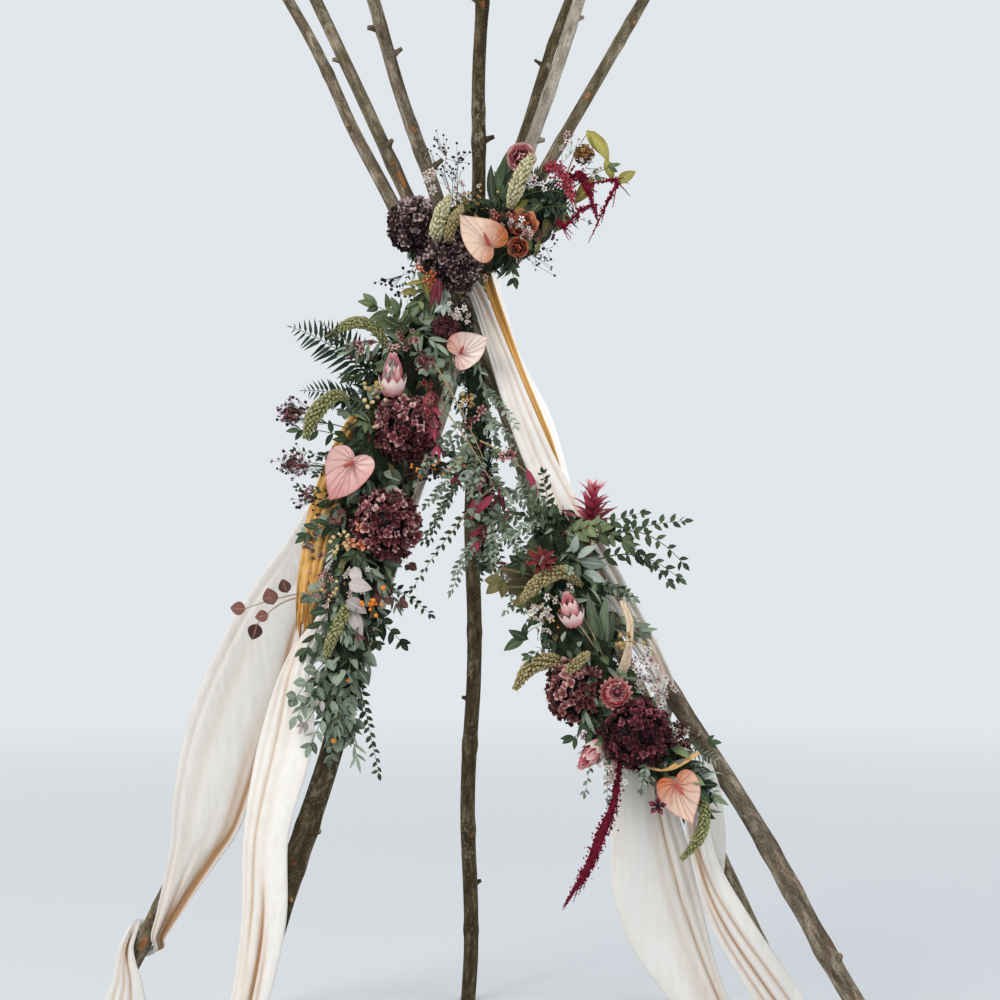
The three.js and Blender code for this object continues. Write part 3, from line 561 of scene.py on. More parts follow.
class Paint:
    """A new material and the shader nodes that make its look. Colours are codes or linear values."""

    def __init__(self, name, roughness, **sockets):
        self.material = bpy.data.materials.new(name)
        self.material.use_nodes = True
        self.tree = self.material.node_tree
        self.shader = self.tree.nodes["Principled BSDF"]
        for key, value in {"Roughness": roughness, "Specular_IOR_Level": DULL_SPECULAR, **sockets}.items():
            self.plug(self.shader.inputs[key.replace("_", " ")], value)

    def plug(self, socket, value):
        """Link a value to a socket, or set a constant there."""
        if isinstance(value, Value):
            self.tree.links.new(value.socket, socket)
        else:
            socket.default_value = tone(value) if isinstance(value, str) else value

    def node(self, kind, settings=(), **inputs):
        """A new shader node. An underscore in an input's name stands for a space."""
        made = self.tree.nodes.new("ShaderNode" + kind)
        for key, value in dict(settings).items():
            setattr(made, key, value)
        for key, value in inputs.items():
            self.plug(made.inputs[key.replace("_", " ")], value)
        return made

    def take(self, output, kind, settings=(), **inputs):
        """One output of a new node."""
        return Value(self, self.node(kind, settings, **inputs).outputs[output])

    def mix(self, factor, a, b, blend="MIX"):
        made = self.node("Mix", {"data_type": "RGBA", "blend_type": blend})
        for index, value in ((0, factor), (6, a), (7, b)):
            self.plug(made.inputs[index], value)
        return Value(self, made.outputs[2])

    def ramp(self, factor, *stops):
        made = self.node("ValToRGB", Fac=factor)
        while len(made.color_ramp.elements) < len(stops):
            made.color_ramp.elements.new(0.5)
        for element, (place, colour) in zip(made.color_ramp.elements, stops):
            element.position = place
            element.color = tone(colour) if isinstance(colour, str) else colour
        return Value(self, made.outputs[0])

    def rising(self, factor, low, high):
        """From black at the low value to white at the high one."""
        return self.ramp(factor, (low, BLACK), (high, WHITE))

    def falling(self, factor, low, high):
        return self.ramp(factor, (low, WHITE), (high, BLACK))

    def speckle(self, scale, detail=3.0, stretch=(1, 1, 1), place=None, roughness=0.55):
        """A noise value over the object's own coordinates, or over the given place."""
        if place is None:
            place = self.take("Object", "TexCoord")
        mapped = self.take(0, "Mapping", Vector=place, Scale=stretch)
        return self.take("Fac", "TexNoise", Vector=mapped, Scale=scale, Detail=detail, Roughness=roughness)

    def attribute(self, name):
        return self.take("Vector", "Attribute", {"attribute_name": name})

    def marks(self):
        """The tint, along and across marks of a shape's points."""
        split = self.node("SeparateXYZ", Vector=self.attribute("mark"))
        return [Value(self, output) for output in split.outputs]

    def finish(self, colour, height, relief):
        """The material, with its colour and with bumps of a relief in metres."""
        self.plug(self.shader.inputs["Base Color"], colour)
        bumps = self.take("Normal", "Bump", Height=height, Distance=relief, Strength=1.0)
        self.plug(self.shader.inputs["Normal"], bumps)
        return self.material


def bark_material(name, dark, middle, light):
    """Bark over its own grain coordinates. Its marks are how bare the wood is and how much painted shade it
    takes.
    """
    paint = Paint(name, 0.85)
    grain = paint.attribute("grain")
    bareness, shading = paint.marks()[1:]
    streaks = paint.speckle(46, 6, (1, 1, 0.3), grain, 0.66)
    flecks = paint.speckle(210, 4, (1, 1, 0.7), grain, 0.7)
    patches = paint.rising(paint.speckle(7, 3, (1, 1, 0.5), grain), 0.50, 0.66)
    spots = paint.rising(paint.speckle(75, 3, (1, 1, 0.8), grain, 0.6), 0.54, 0.60)
    squeezed = paint.take(0, "Mapping", Vector=grain, Scale=(55, 55, 210))
    dots = paint.take("Distance", "TexVoronoi", Vector=squeezed, Scale=1.0, Randomness=1.0)
    dashes = paint.falling(dots, 0.10, 0.2)
    bare = paint.rising(bareness + (flecks - 0.5) * 1.5, 0.46, 0.56)
    wood = paint.ramp(paint.speckle(60, 4, (1, 1, 0.1), grain), (0.3, BARE_WOOD[0]), (0.7, BARE_WOOD[1]))
    dust = paint.ramp(flecks, (0.34, BARK_DUST), (0.58, WHITE))
    # Painted shade: the bark darkens in its hollows, in and round its knots, on its underside and on the cut
    # branches
    dusk = paint.ramp(shading, (0.0, WHITE), (1.0, PAINTED_SHADE_TONE))
    colour = paint.ramp(streaks, (0.3, dark), (0.52, middle), (0.72, light))
    colour = paint.mix(0.85, colour, dust, "MULTIPLY")
    colour = paint.mix(patches * spots * 0.4, colour, LICHEN)
    colour = paint.mix(dashes * 0.6, colour, PORES)
    colour = paint.mix(bare * 0.88, colour, wood)
    colour = paint.mix(1.0, colour, dusk, "MULTIPLY")
    return paint.finish(colour, streaks * 0.9 + flecks * 0.5 + dashes * 0.25 - bare * 0.4, 0.0034)


def cut_wood_material():
    paint = Paint("cut_wood", 0.75)
    rings = (paint.marks()[1] * 42.0).maths("SINE")
    value = rings * 0.18 + paint.speckle(260, 3)
    colour = paint.ramp(value, (0.3, "86603c"), (0.55, "b48e66"), (0.8, "d0b492"))
    return paint.finish(colour, value, 0.0006)


def cloth_material(name, light, shade, deep, weave=420, sheen=0.25, alpha=1.0, painted_glow=0.0):
    """Woven cloth. Its marks are the painted shade of the folds, and metres along and across the cloth."""
    # Painted glow: the sheer cloth gives off its light tone as if lit from behind
    sheer = {"Alpha": alpha, "Emission_Color": light, "Emission_Strength": painted_glow}
    paint = Paint(name, 0.88, Sheen_Weight=sheen, Sheen_Roughness=0.6, **sheer)
    fold, along_cloth, across_cloth = paint.marks()
    # Painted shade: the light tone darkens toward the shade and deep tones where the folds are
    painted_fold_shade = paint.ramp(fold, (0.0, light), (0.45, shade), (1.0, deep))
    stained = paint.mix(paint.speckle(2.5, 3) * 0.12, painted_fold_shade, shade)
    slubs = paint.ramp(paint.speckle(60, 3, (1, 1, 0.12)), (0.3, (0.93, 0.92, 0.9, 1)), (0.62, WHITE))
    colour = paint.mix(1.0, stained, slubs, "MULTIPLY")
    place = paint.take(0, "CombineXYZ", X=across_cloth, Y=along_cloth, Z=0.0)
    warp, weft = (
        paint.take("Fac", "TexWave", {"bands_direction": way}, Vector=place, Scale=weave, Distortion=0.6)
        for way in "XY"
    )
    creases = paint.speckle(7, 4, (1.5, 1.5, 0.3), None, 0.5)
    fine = paint.speckle(40, 3, (1.2, 1.2, 0.3))
    return paint.finish(colour, warp * weft * 0.03 + creases * 0.8 + fine * 0.18, 0.008)


def rope_material():
    paint = Paint("rope_fibre", 0.9, Sheen_Weight=0.3)
    fibres = paint.speckle(420, 4, (1, 1, 2.5))
    colour = paint.ramp(fibres, (0.3, "6f5632"), (0.55, "a98d5f"), (0.75, "cdb58a"))
    return paint.finish(paint.mix(paint.speckle(30, 2) * 0.4, colour, "7d6744"), fibres, 0.0012)


def leaf_material(name, dark, light, rib, roughness=0.5, tip=None):
    paint = Paint(name, roughness, Specular_IOR_Level=0.16)
    tint, along_leaf, across_leaf = paint.marks()
    mottle = paint.speckle(90, 3)
    colour = paint.ramp(tint * 0.75 + mottle * 0.3, (0.12, dark), (0.85, light))
    if tip:
        edge = along_leaf.maths("MAXIMUM", across_leaf).maths("POWER", 5.0)
        colour = paint.mix(edge * 0.7, colour, tip)
    vein = paint.falling(across_leaf, 0.03, 0.16)
    side_veins = (along_leaf * 60.0 + across_leaf * -14.0).maths("SINE")
    colour = paint.mix(vein * 0.55, colour, rib)
    return paint.finish(colour, side_veins * 0.12 - vein + mottle * 0.5, 0.0008)


def petal_material(name, heart_tone, body, edge, roughness=0.6, mottling=0.4):
    """Petal colours from the base to the rim. A higher tint brings the rim's colour further in."""
    paint = Paint(name, roughness, Sheen_Weight=0.05)
    tint, along_petal, across_petal = paint.marks()
    spots = paint.speckle(130, 3)
    reach = along_petal * 0.6 + tint * 0.65 + (spots - 0.5) * mottling
    colour = paint.ramp(reach, (0.25, heart_tone), (0.66, body), (1.0, edge))
    lines = (across_petal * 26.0).maths("SINE")
    return paint.finish(colour, lines * 0.3 + spots, 0.0007)


def spathe_material(name, pale, warm, vein, line):
    """A waxy heart-shaped bloom. Its tint is the warm side, and across is the angle round the middle."""
    paint = Paint(name, 0.4, Specular_IOR_Level=0.3, Coat_Weight=0.12, Coat_Roughness=0.25)
    tint, outward, angle = paint.marks()
    cloud = paint.speckle(55, 3)
    uneven = cloud - 0.5
    bend = angle + outward * 0.05 + uneven * 0.03
    lines = paint.falling((bend * 14.0).maths("PINGPONG", 0.5), 0.0, 0.22)
    colour = paint.ramp(tint + uneven * 0.35, (0.2, pale), (0.85, warm))
    colour = paint.mix(paint.falling(outward, 0.0, 0.4) * 0.6, colour, vein)
    colour = paint.mix(lines * paint.falling(outward, 0.1, 0.9) * 0.7, colour, line)
    colour = paint.mix(paint.rising(outward, 0.93, 1.0) * 0.5, colour, vein)
    return paint.finish(colour, cloud * 0.9 - lines * 0.6, 0.0042)


def pile_material(name, dark, light, scale):
    """Moss, seeds, berries and other small rough stuff."""
    paint = Paint(name, 0.7)
    grain = paint.speckle(scale, 4)
    colour = paint.ramp(paint.marks()[0] * 0.5 + grain * 0.55, (0.2, dark), (0.8, light))
    return paint.finish(colour, grain, 0.003)


def palette(prefix, make, looks):
    """One material for each look, by its short name."""
    return {key: make(prefix + key, *look) for key, look in looks.items()}


BARK = palette("bark_", bark_material, {
    "brown": ("392f26", "766958", "b6aa97"),
    "olive": ("393125", "776b56", "b4a892"),
    "dark": ("2c241b", "50442f", "857860"),
    "pale": ("70665a", "b0a698", "d6cec4"),
})
CUT_WOOD = cut_wood_material()
ROPE = rope_material()
CLOTH = palette("cloth_", cloth_material, {
    "ivory": ("ece9e5", "e2d5c8", "ab7d4e"),
    "ochre": ("eebd72", "c4862e", "6c3f14"),
    "cream": ("ecd9bf", "dcae74", "a06a30"),
    # The sheer cloth's last value is its painted glow
    "sheer": ("fbf9f6", "f2ece4", "e0d2c0", 520, 0.2, 0.34, 0.45),
})
MOSS = pile_material("moss", "161c12", "38402a", 90)
TWIG = pile_material("twig", "3a2c20", "6d5a44", 120)
GREEN_STEM = pile_material("green_stem", "3c4a2c", "7a8458", 120)
PALE_TWIG = pile_material("pale_twig", "7a6244", "c4a880", 120)
LEAF = palette("leaf_", leaf_material, {
    "dark": ("131c14", "44573c", "7d8a62"),
    "bay": ("28351f", "7c8b62", "a4ae88", 0.45),
    "grey": ("3e4a3a", "93a08c", "b4bda6", 0.6),
    "silver": ("5e6a62", "a2aca2", "bcc4b8", 0.6),
    "sage": ("28342a", "65725a", "8c9678", 0.55),
    "olive": ("505024", "a09c50", "c4c07c", 0.5, "8c5a34"),
    "red": ("3a2426", "7a5048", "a87c68"),
    "brown": ("2a2a1a", "67623c", "8c8458", 0.45, "6a4a30"),
    "lilac": ("8c8280", "c4b8b6", "d0c6c2", 0.6),
    "fern": ("0d1610", "2c3f30", "44543c"),
    "crimson": ("4a1420", "98384c", "b8606c"),
})
PETAL = palette("petal_", petal_material, {
    "plum": ("180d10", "4c3034", "ccb2b0", 0.6, 0.75),
    "rose": ("340f14", "7e3a42", "e2bcb2", 0.6, 0.6),
    "dusk": ("34161a", "8c4c4a", "e4b6ae", 0.6, 0.7),
    "burgundy": ("1e090f", "541c28", "a85c68", 0.6, 0.6),
    "rust": ("682816", "bc5a36", "e8a482", 0.55),
    "pink": ("a83444", "dc8890", "f2dcd4", 0.5, 0.3),
    "coral": ("4c1014", "802a2a", "cc8c7c", 0.5, 0.4),
    "blush": ("8c2030", "d25860", "f4cabe", 0.5, 0.35),
    "magenta": ("74182c", "c44c62", "f2b8b6", 0.5, 0.4),
    "white": ("c49894", "e8dcd6", "f6f2ee", 0.6, 0.2),
    "sedum": ("34161c", "743844", "b47478", 0.6, 0.5),
})
SPATHE = palette("spathe_", spathe_material, {
    "peach": ("dcc0aa", "a65622", "b46050", "ead6c6"),
    "pale": ("deccc2", "cc9480", "c06a6c", "d8a39c"),
    "salmon": ("d2a8a0", "b46c6a", "983c48", "b87270"),
    "apricot": ("dcbaa6", "c06636", "b0383c", "cc7058"),
})
SPADIX = pile_material("spadix", "9c3430", "d07060", 300)
BERRY = palette("berry_", pile_material, {
    "dark": ("140e12", "382630", 60),
    "orange": ("b85a1c", "e8943c", 60),
    "gold": ("a08450", "d8c090", 60),
    "bud": ("80603c", "c0a06c", 60),
})
SEED = palette("seed_", pile_material, {
    "pale": ("827a54", "e2dab4", 420),
    "green": ("565a34", "b0b07c", 420),
    "tawny": ("645834", "c4b484", 420),
})
CRIMSON = pile_material("amaranth_crimson", "400818", "9a1e3c", 300)
ROSY = pile_material("amaranth_rosy", "742434", "c45864", 300)
DRIED = petal_material("dried_pod", "5c3c24", "94683c", "c49860", 0.8)

# Poles

POLE_COLUMNS = 28
POLE_ROWS = 310
COARSE_BARK = (26, 26, 9)
FINE_BARK = (90, 90, 42)
KNOT_SWELL = (2.6, 1.9)
KNOT_RIDGE = (1.5, 1.2)
KNOT_PIT = (0.9, 0.7)
TOP_RINGS = 7
TOP_DOME = 1.2
STUB_COLUMNS = 14
STUB_LEAN = 0.35
STUB_SHADE = 0.35


def pole_centre(pole, z):
    z = np.asarray(z, float)
    foot, tie, tip = (np.array(pole[key], float) for key in ("foot", "tie", "tip"))
    lean = (tie - foot) / TIE_HEIGHT
    rise = (tip - tie) / (TIP_REFERENCE - TIE_HEIGHT)
    above = z - TIE_HEIGHT
    near = (above + BEND_REACH) ** 2 / (4 * BEND_REACH)
    bend = np.where(np.abs(above) < BEND_REACH, near, np.maximum(above, 0))
    size, waves, heading = pole["sway"]
    fade = smoothstep(np.abs(above), BEND_REACH, 2 * BEND_REACH)
    offset = size * fade * np.sin(FULL_TURN * waves * z / TIE_HEIGHT)
    plan = foot + np.outer(z, lean) + np.outer(bend, rise - lean) + np.outer(offset, facing(heading)[:2])
    return np.column_stack([plan, z])


def pole_radius(pole, z):
    return np.interp(z, [0, TIE_HEIGHT, pole["top"]], pole["radii"])


def pole_tangent(pole, z):
    return unit(pole_centre(pole, z + 2.0) - pole_centre(pole, z - 2.0))


def facing(degrees):
    """The level direction of a heading."""
    return np.array([math.cos(math.radians(degrees)), math.sin(math.radians(degrees)), 0.0])


def pole_side(pole, height, heading):
    """The pole's middle at a height, its direction there, and the way out from it to a heading."""
    tangent = pole_tangent(pole, np.array([height]))[0]
    return pole_centre(pole, [height])[0], tangent, square_to(tangent[None], facing(heading))[0]


def near_patch(points, pole, height, heading, length, width):
    """How far into a patch on the pole's side each point is, from 1 in its middle to 0 outside."""
    centre, tangent, out = pole_side(pole, height, heading)
    offset = points - (centre + out * pole_radius(pole, height))
    up = offset @ tangent
    aside = offset @ np.cross(tangent, out)
    return np.exp(-((up / (length / 2)) ** 2) - (aside / (width / 2)) ** 2) * (offset @ out > -width)


def add_stub(heap, pole, height, heading, length, radius):
    """A cut branch: a flared collar, a short stem, and a sawn end a little smaller than the stem."""
    centre, tangent, out = pole_side(pole, height, heading)
    out = unit(out + STUB_LEAN * tangent)
    trunk = float(pole_radius(pole, height))
    inside, outside = trunk * np.array([0.55, 0.9]), trunk + length * np.array([0.3, 0.8, 1.0])
    reaches = np.append(inside, outside)
    widths = np.array([1.75, 1.4, 1.05, 0.84, 0.74]) * radius
    line = centre + out * reaches[:, None]
    points, marks, faces = tube(line, widths, STUB_COLUMNS)
    # The stubs' bark takes a little painted shade
    heap.add((points, marks * 0 + [0, STUB_SHADE], faces), BARK[pole["bark"]])
    disc = line[-1] + out * np.array([[-0.6], [0.5]])
    points, marks, faces = tube(disc, [radius * 0.7, radius * 0.66], STUB_COLUMNS)
    marks[:-2, 0] = 1.0
    heap.add((points, marks, faces), CUT_WOOD)


def add_top(heap, rim, tangent, angle):
    """The pole's sawn top, in rings from its rim to its middle, a little domed."""
    share = np.linspace(1, 0, TOP_RINGS)[:, None, None]
    centre = rim.mean(0)
    points = centre + (rim[None] - centre) * share + tangent * TOP_DOME * (1 - share)
    inward = np.repeat(1 - share.ravel(), POLE_COLUMNS)
    marks = np.column_stack([inward, np.tile(angle / FULL_TURN, TOP_RINGS)])
    heap.add((points.reshape(-1, 3), marks, grid_faces(TOP_RINGS, POLE_COLUMNS, True)), CUT_WOOD)


def bark_noise(grain, scale):
    """Lumps from -1 to 1 at each point of the bark."""
    lumps = [noise.noise(tuple(place)) for place in grain * np.array(scale)]
    return np.array(lumps).reshape(POLE_ROWS, POLE_COLUMNS)


def bark_relief(pole, z, plain, ring, grain):
    """The bark's radius as a share of the pole's, how bare each of its points is, and how much painted shade
    it takes.
    """
    coarse, fine = bark_noise(grain, COARSE_BARK), bark_noise(grain, FINE_BARK)
    calm = smoothstep(np.abs(z - TIE_HEIGHT), 60, 260)[:, None]
    slim = 0.965 - 0.075 * smoothstep(z, 2450, 3000)[:, None]
    relief = slim + (0.03 * coarse + 0.018 * fine) * (0.3 + 0.7 * calm)
    # Painted shade in the hollows of the bark
    shade = np.clip(-0.9 * coarse, 0, 1) * 0.15
    for height, heading, size in pole["knots"]:
        swell, ridge, pit = (
            near_patch(plain, pole, height, heading, tall * size, wide * size)
            for tall, wide in (KNOT_SWELL, KNOT_RIDGE, KNOT_PIT)
        )
        relief += 0.15 * swell - 0.12 * pit
        # Painted shade in and round the knots
        shade += 0.55 * pit + 0.25 * (ridge - pit).clip(0, 1)
        relief += 0.03 * np.exp(-(((z - height) / (0.5 * size)) ** 2))[:, None]
    bare = np.zeros((POLE_ROWS, POLE_COLUMNS))
    for scar in pole["scars"]:
        patch = near_patch(plain, pole, *scar)
        bare = np.maximum(bare, patch)
        relief -= 0.03 * patch
    # Painted shade on the side of the pole that faces down and away from the front
    underside_shade = smoothstep(-(ring @ np.array([0.25, -0.35, 0.9])), 0.2, 1.0)
    return relief, bare, np.clip(shade + 0.25 * underside_shade, 0, 1)


def make_pole(pole, seed):
    """Bark with a level foot, a sawn and slightly domed top, and cut branches."""
    z = np.linspace(0, pole["top"], POLE_ROWS)
    line = pole_centre(pole, z)
    tangents = unit(np.gradient(line, axis=0))
    side = square_to(tangents, (1, 0, 0))
    normal = np.cross(tangents, side)
    angle = np.linspace(0, FULL_TURN, POLE_COLUMNS, endpoint=False)
    cosine, sine = np.cos(angle), np.sin(angle)
    ring = cosine[None, :, None] * side[:, None] + sine[None, :, None] * normal[:, None]
    base = pole_radius(pole, z)[:, None]
    unrolled = np.stack([cosine[None] * base, sine[None] * base, z[:, None] + 0 * angle[None]], -1)
    grain = (unrolled * MM + seed).reshape(-1, 3)
    relief, bare, shade = bark_relief(pole, z, line[:, None] + ring * base[..., None], ring, grain)

    skin = line[:, None] + ring * (base * relief)[..., None]
    first = skin[0]
    first -= (first[:, 2] / tangents[0, 2])[:, None] * tangents[0]
    skin += np.clip(-skin[..., 2:] / tangents[:, None, 2:], 0, None) * tangents[:, None]
    here = np.arange(POLE_COLUMNS)
    foot = fan_faces(POLE_ROWS * POLE_COLUMNS, (here + 1) % POLE_COLUMNS, here)
    faces = np.vstack([grid_faces(POLE_ROWS, POLE_COLUMNS, True), foot])
    marks = np.column_stack([np.append(bare, 0), np.append(shade, 0)])
    points = np.vstack([skin.reshape(-1, 3), first.mean(0, keepdims=True)])
    heap = Heap(seed)
    heap.add((points, marks, faces), BARK[pole["bark"]])
    add_top(heap, skin[-1], tangents[-1], angle)
    for stub in pole["stubs"]:
        add_stub(heap, pole, *stub)
    piece = heap.build(pole["name"] + "_bark", "bark_" + pole["bark"], pole["name"])

    others = np.vstack(heap.points)[len(grain) :] * MM + seed
    field = piece.data.attributes.new("grain", "FLOAT_VECTOR", "POINT")
    field.data.foreach_set("vector", np.vstack([grain, others]).ravel())


# Rope lashing: taut turns round the outside of all the poles

LASHING = {"start": 2436.0, "turns": 3, "pitch": 15.5, "radius": 7.0, "bite": 0.8, "steps": 720}
LASHING_SEED = 5
ROPE_STEP = 5.5
ROPE_LAY = 34
STRANDS = 3


def pole_touch(pole, z, out):
    """The point of a pole that lies furthest out in a direction, at one height."""
    tangent = pole_tangent(pole, np.array([z]))[0]
    lean = unit([tangent[0], tangent[1], 0])
    cross = np.array([-lean[1], lean[0], 0])
    radius = float(pole_radius(pole, z))
    major = radius / tangent[2] * (out @ lean)
    minor = radius * (out @ cross)
    support = math.hypot(major, minor)
    touch = pole_centre(pole, [z])[0] + lean * radius / tangent[2] * major / support
    return touch + cross * radius * minor / support


def lashing_line():
    places = []
    for turn in LASHING["turns"] * np.arange(LASHING["steps"] + 1) / LASHING["steps"]:
        angle = FULL_TURN * turn
        z = LASHING["start"] + LASHING["pitch"] * turn
        out = np.array([math.cos(angle), math.sin(angle), 0.0])
        furthest = max((pole_touch(pole, z, out) for pole in POLES), key=lambda touch: touch @ out)
        place = furthest + out * (LASHING["radius"] - LASHING["bite"])
        places.append((place[0], place[1], z))
    return np.array(places)


def even(line, step):
    """The line's points again, one every step along it."""
    run = run_of(line)
    spots = np.linspace(0, run[-1], max(int(run[-1] / step), 2))
    return np.column_stack([np.interp(spots, run, line[:, axis]) for axis in range(3)])


def make_lashing():
    """Three turns of rope, of three strands wound round its line."""
    heap = Heap(LASHING_SEED)
    line = even(lashing_line(), ROPE_STEP)
    radius = LASHING["radius"]
    tangents = unit(np.gradient(line, axis=0))
    side = square_to(tangents, (0, 0, 1))
    normal = np.cross(tangents, side)
    run = run_of(line)
    for strand in range(STRANDS):
        turn = FULL_TURN * (run / ROPE_LAY + strand / STRANDS)
        offset = np.cos(turn)[:, None] * side + np.sin(turn)[:, None] * normal
        heap.add(tube(line + offset * radius * 0.5, radius * 0.52, 7, (0, 0, 1)), ROPE)
    heap.build("rope_lashing_strands", "rope", "rope_lashing")


# Swags

SWAG_SEED = 40
CLOTH_THICKNESS = 0.0012
PHASES = (0, 6.28)
NARROW_CLOTH = 70
BACK_LAYER_PHASE = 1.9
FLATTEST = 0.66
GROUND_GAP = 1.5


def crease_field(spec, half, across, share):
    """Depth in millimetres of the creases over the front of a swag, and how shaded each point is."""
    depth = np.zeros((len(share), len(across)))
    shade = np.zeros_like(depth)
    half = half[:, None]
    for (top, middle, bottom), (start, end), deep, wide in spec["creases"]:
        place = np.interp(share, [0, 0.5, 1], [top, middle, bottom])
        place += 0.03 * np.sin(9 * share + 7 * top)
        begun = smoothstep(share, start - 0.02, start + 0.12)
        ends = begun * (1 - smoothstep(share, end - 0.12, end + 0.02))
        offset = (across[None] - place[:, None]) * half
        narrow = np.minimum(wide, half * 0.45)
        valley = np.exp(-np.abs(offset / narrow) ** 1.5)
        lip = np.exp(-(((offset - 1.7 * narrow) / (1.1 * narrow)) ** 2))
        amount = ends[:, None] * np.minimum(deep, half * 0.55)
        depth += amount * (valley - 0.45 * lip)
        shade += ends[:, None] * np.exp(-((offset / (0.7 * narrow)) ** 2)) * deep / 13
    return depth, shade


def pleat_height(spec, width, thick, across):
    """How high the pleats have to be to take up the cloth's own width. They are lower on its smooth side."""
    gather = np.maximum(spec["flat"][0] / MM / 2 / (width * 1.1), 1.0)
    height = width / spec["pleats"] * np.sqrt(2 * (gather**2 - 1)) / FULL_TURN + 0.4
    height = np.minimum(height, 0.34 * thick)[:, None]
    gathered = 1 - spec["smooth"] * (1 - smoothstep(spec["toward"] * across, -0.7, 0.75))[None]
    return height * np.where(width[:, None] < NARROW_CLOTH, 1.0, gathered)


def make_drape(spec, seed):
    """A cloth folded once down its length: a front and a back layer, with the two free edges together."""
    rows, columns = spec["rows"], spec["columns"] // 2
    trail = Trail(spec["stations"], rows)
    width, thick, turn = trail.values.T
    turn = np.radians(turn)
    side = square_to(trail.tangents, np.column_stack([np.cos(turn), np.sin(turn), 0 * turn]))
    front = np.cross(side, trail.tangents)
    front = front * (-1 if front[:, 1].mean() > 0 else 1)

    share = np.linspace(0, 1, rows + 1)
    place = np.concatenate([np.linspace(1, -1, columns + 1), np.linspace(-1, 1, columns + 1)[1:]])
    is_front = np.arange(2 * columns + 1) <= columns
    across = 0.6 * place + 0.4 * np.sin(np.pi / 2 * place)
    edge = np.maximum(1 - across**2, 0) ** 0.4
    depth, shade = crease_field(spec, width / 2, across, share)
    height = pleat_height(spec, width, thick, across)
    sway = np.random.default_rng(seed).uniform(*PHASES, 6)
    over, down = across[None], share[:, None]

    warp = over + 0.16 * np.sin(2.2 * over + sway[0] + 1.5 * down)
    phase = np.pi * spec["pleats"] * warp + 1.2 * np.sin(3.1 * down + sway[1])
    phase = phase + np.where(is_front, 0.0, BACK_LAYER_PHASE)[None]
    uneven = 0.62 + 0.38 * np.sin(3.7 * over + sway[2] + 2.6 * down)
    wave = np.sin(phase + 0.4 * np.sin(phase)) * uneven * height * edge
    small = np.sin(2.6 * phase + sway[3] + 5 * down) * (0.1 + 0.06 * height)
    push = edge * thick[:, None] * 0.34 * spec["bulge"] + wave + small * edge
    push = push * np.where(is_front, 1, -1) - np.where(is_front, depth, 0.0) * edge
    ripple = np.sin(9 * over + 67 * down) * np.sin(47 * down - 7 * over + 1)
    push = push + spec["crumple"] * ripple * edge
    limit = thick[:, None] * FLATTEST
    push = limit * np.tanh(push / limit)

    spread = over * (width / 2)[:, None] * (1 + 0.03 * np.sin(11 * share + sway[4])[:, None])
    points = trail.line[:, None] + side[:, None] * spread[..., None] + front[:, None] * push[..., None]
    ragged = np.sin(7 * across + 2) + 0.6 * np.sin(17 * across + 0.5) + 0.4 * np.sin(31 * across)
    points[..., 2] += spec["hem"] * smoothstep(share, 0.7, 1)[:, None] * 0.5 * ragged[None]
    points[..., 2] = np.maximum(points[..., 2], GROUND_GAP + 2.5 * (1 + push / limit))

    # Painted shade: warm tan in the creases, in the pleats' valleys, toward the folded edges and in the
    # crumples' hollows
    valley = np.clip(-np.sin(phase), 0, 1) ** 2 * np.minimum(height / 12, 1) * 0.16
    fold = np.clip(1.05 * shade * edge + valley + 0.12 * (1 - edge), 0, 1)
    fold = np.clip(fold - 0.05 * spec["crumple"] * ripple, 0, 1)
    metres_over = np.linspace(0, spec["flat"][0], 2 * columns + 1)[None] + 0 * spread
    metres_down = run_of(trail.line)[:, None] * MM + 0 * spread
    marks = np.stack([metres_down, metres_over], -1).reshape(-1, 2)
    heap = Heap(seed)
    faces = grid_faces(rows + 1, 2 * columns + 1)
    heap.add((points.reshape(-1, 3), marks, faces), CLOTH[spec["cloth"]], fold.ravel())
    nodes = () if spec["spare"] else (spec["name"],)
    piece = heap.build(spec["name"] + "_cloth", "cloth_" + spec.get("slot", spec["cloth"]), *nodes)
    shell = piece.modifiers.new("cloth_thickness", "SOLIDIFY")
    shell.thickness = CLOTH_THICKNESS
    shell.offset = 0.0


# Leaves and stems

LEAF_SHAPE = {
    "lance": blade(0.22, 0.8, 6, 2, 0.5, 0.2),
    "oval": blade(0.44, 0.85, 6, 2, 0.5, 0.22),
    "round": blade(0.92, 0.85, 6, 4, 0.3, 0.1),
    "broad": blade(0.62, 0.75, 7, 4, 0.7, 0.16, 0.05),
    "pinna": blade(0.2, 0.45, 4, 2, 0.4, 0.15),
    "small": blade(0.52, 0.8, 3, 2, 0.3, 0.15),
}
BEAD = ball(6, 4)
GRAIN = ball(4, 3, 1.7)
DROP = ball(5, 3)
STAR = rosette(blade(0.7, 0.75, 2, 2, 0.5, 0.1), 5, 0.25, 0.12)
FLORET = rosette(blade(1.0, 0.74, 3, 2, -0.7, 0.2, 0.22, 0.08), 4, 0.12, 0.06)
TUFT = blade(0.22, 0.8, 2, 1, 0.7, 0.0)
BRISTLE = blade(0.07, 1.0, 1, 1, 0.3, 0.0)

# Kinds of sprig: leaf shape, leaf colour, stem and angle of the leaves to the stem. Fronds are narrower at
# both ends, as a fern is.

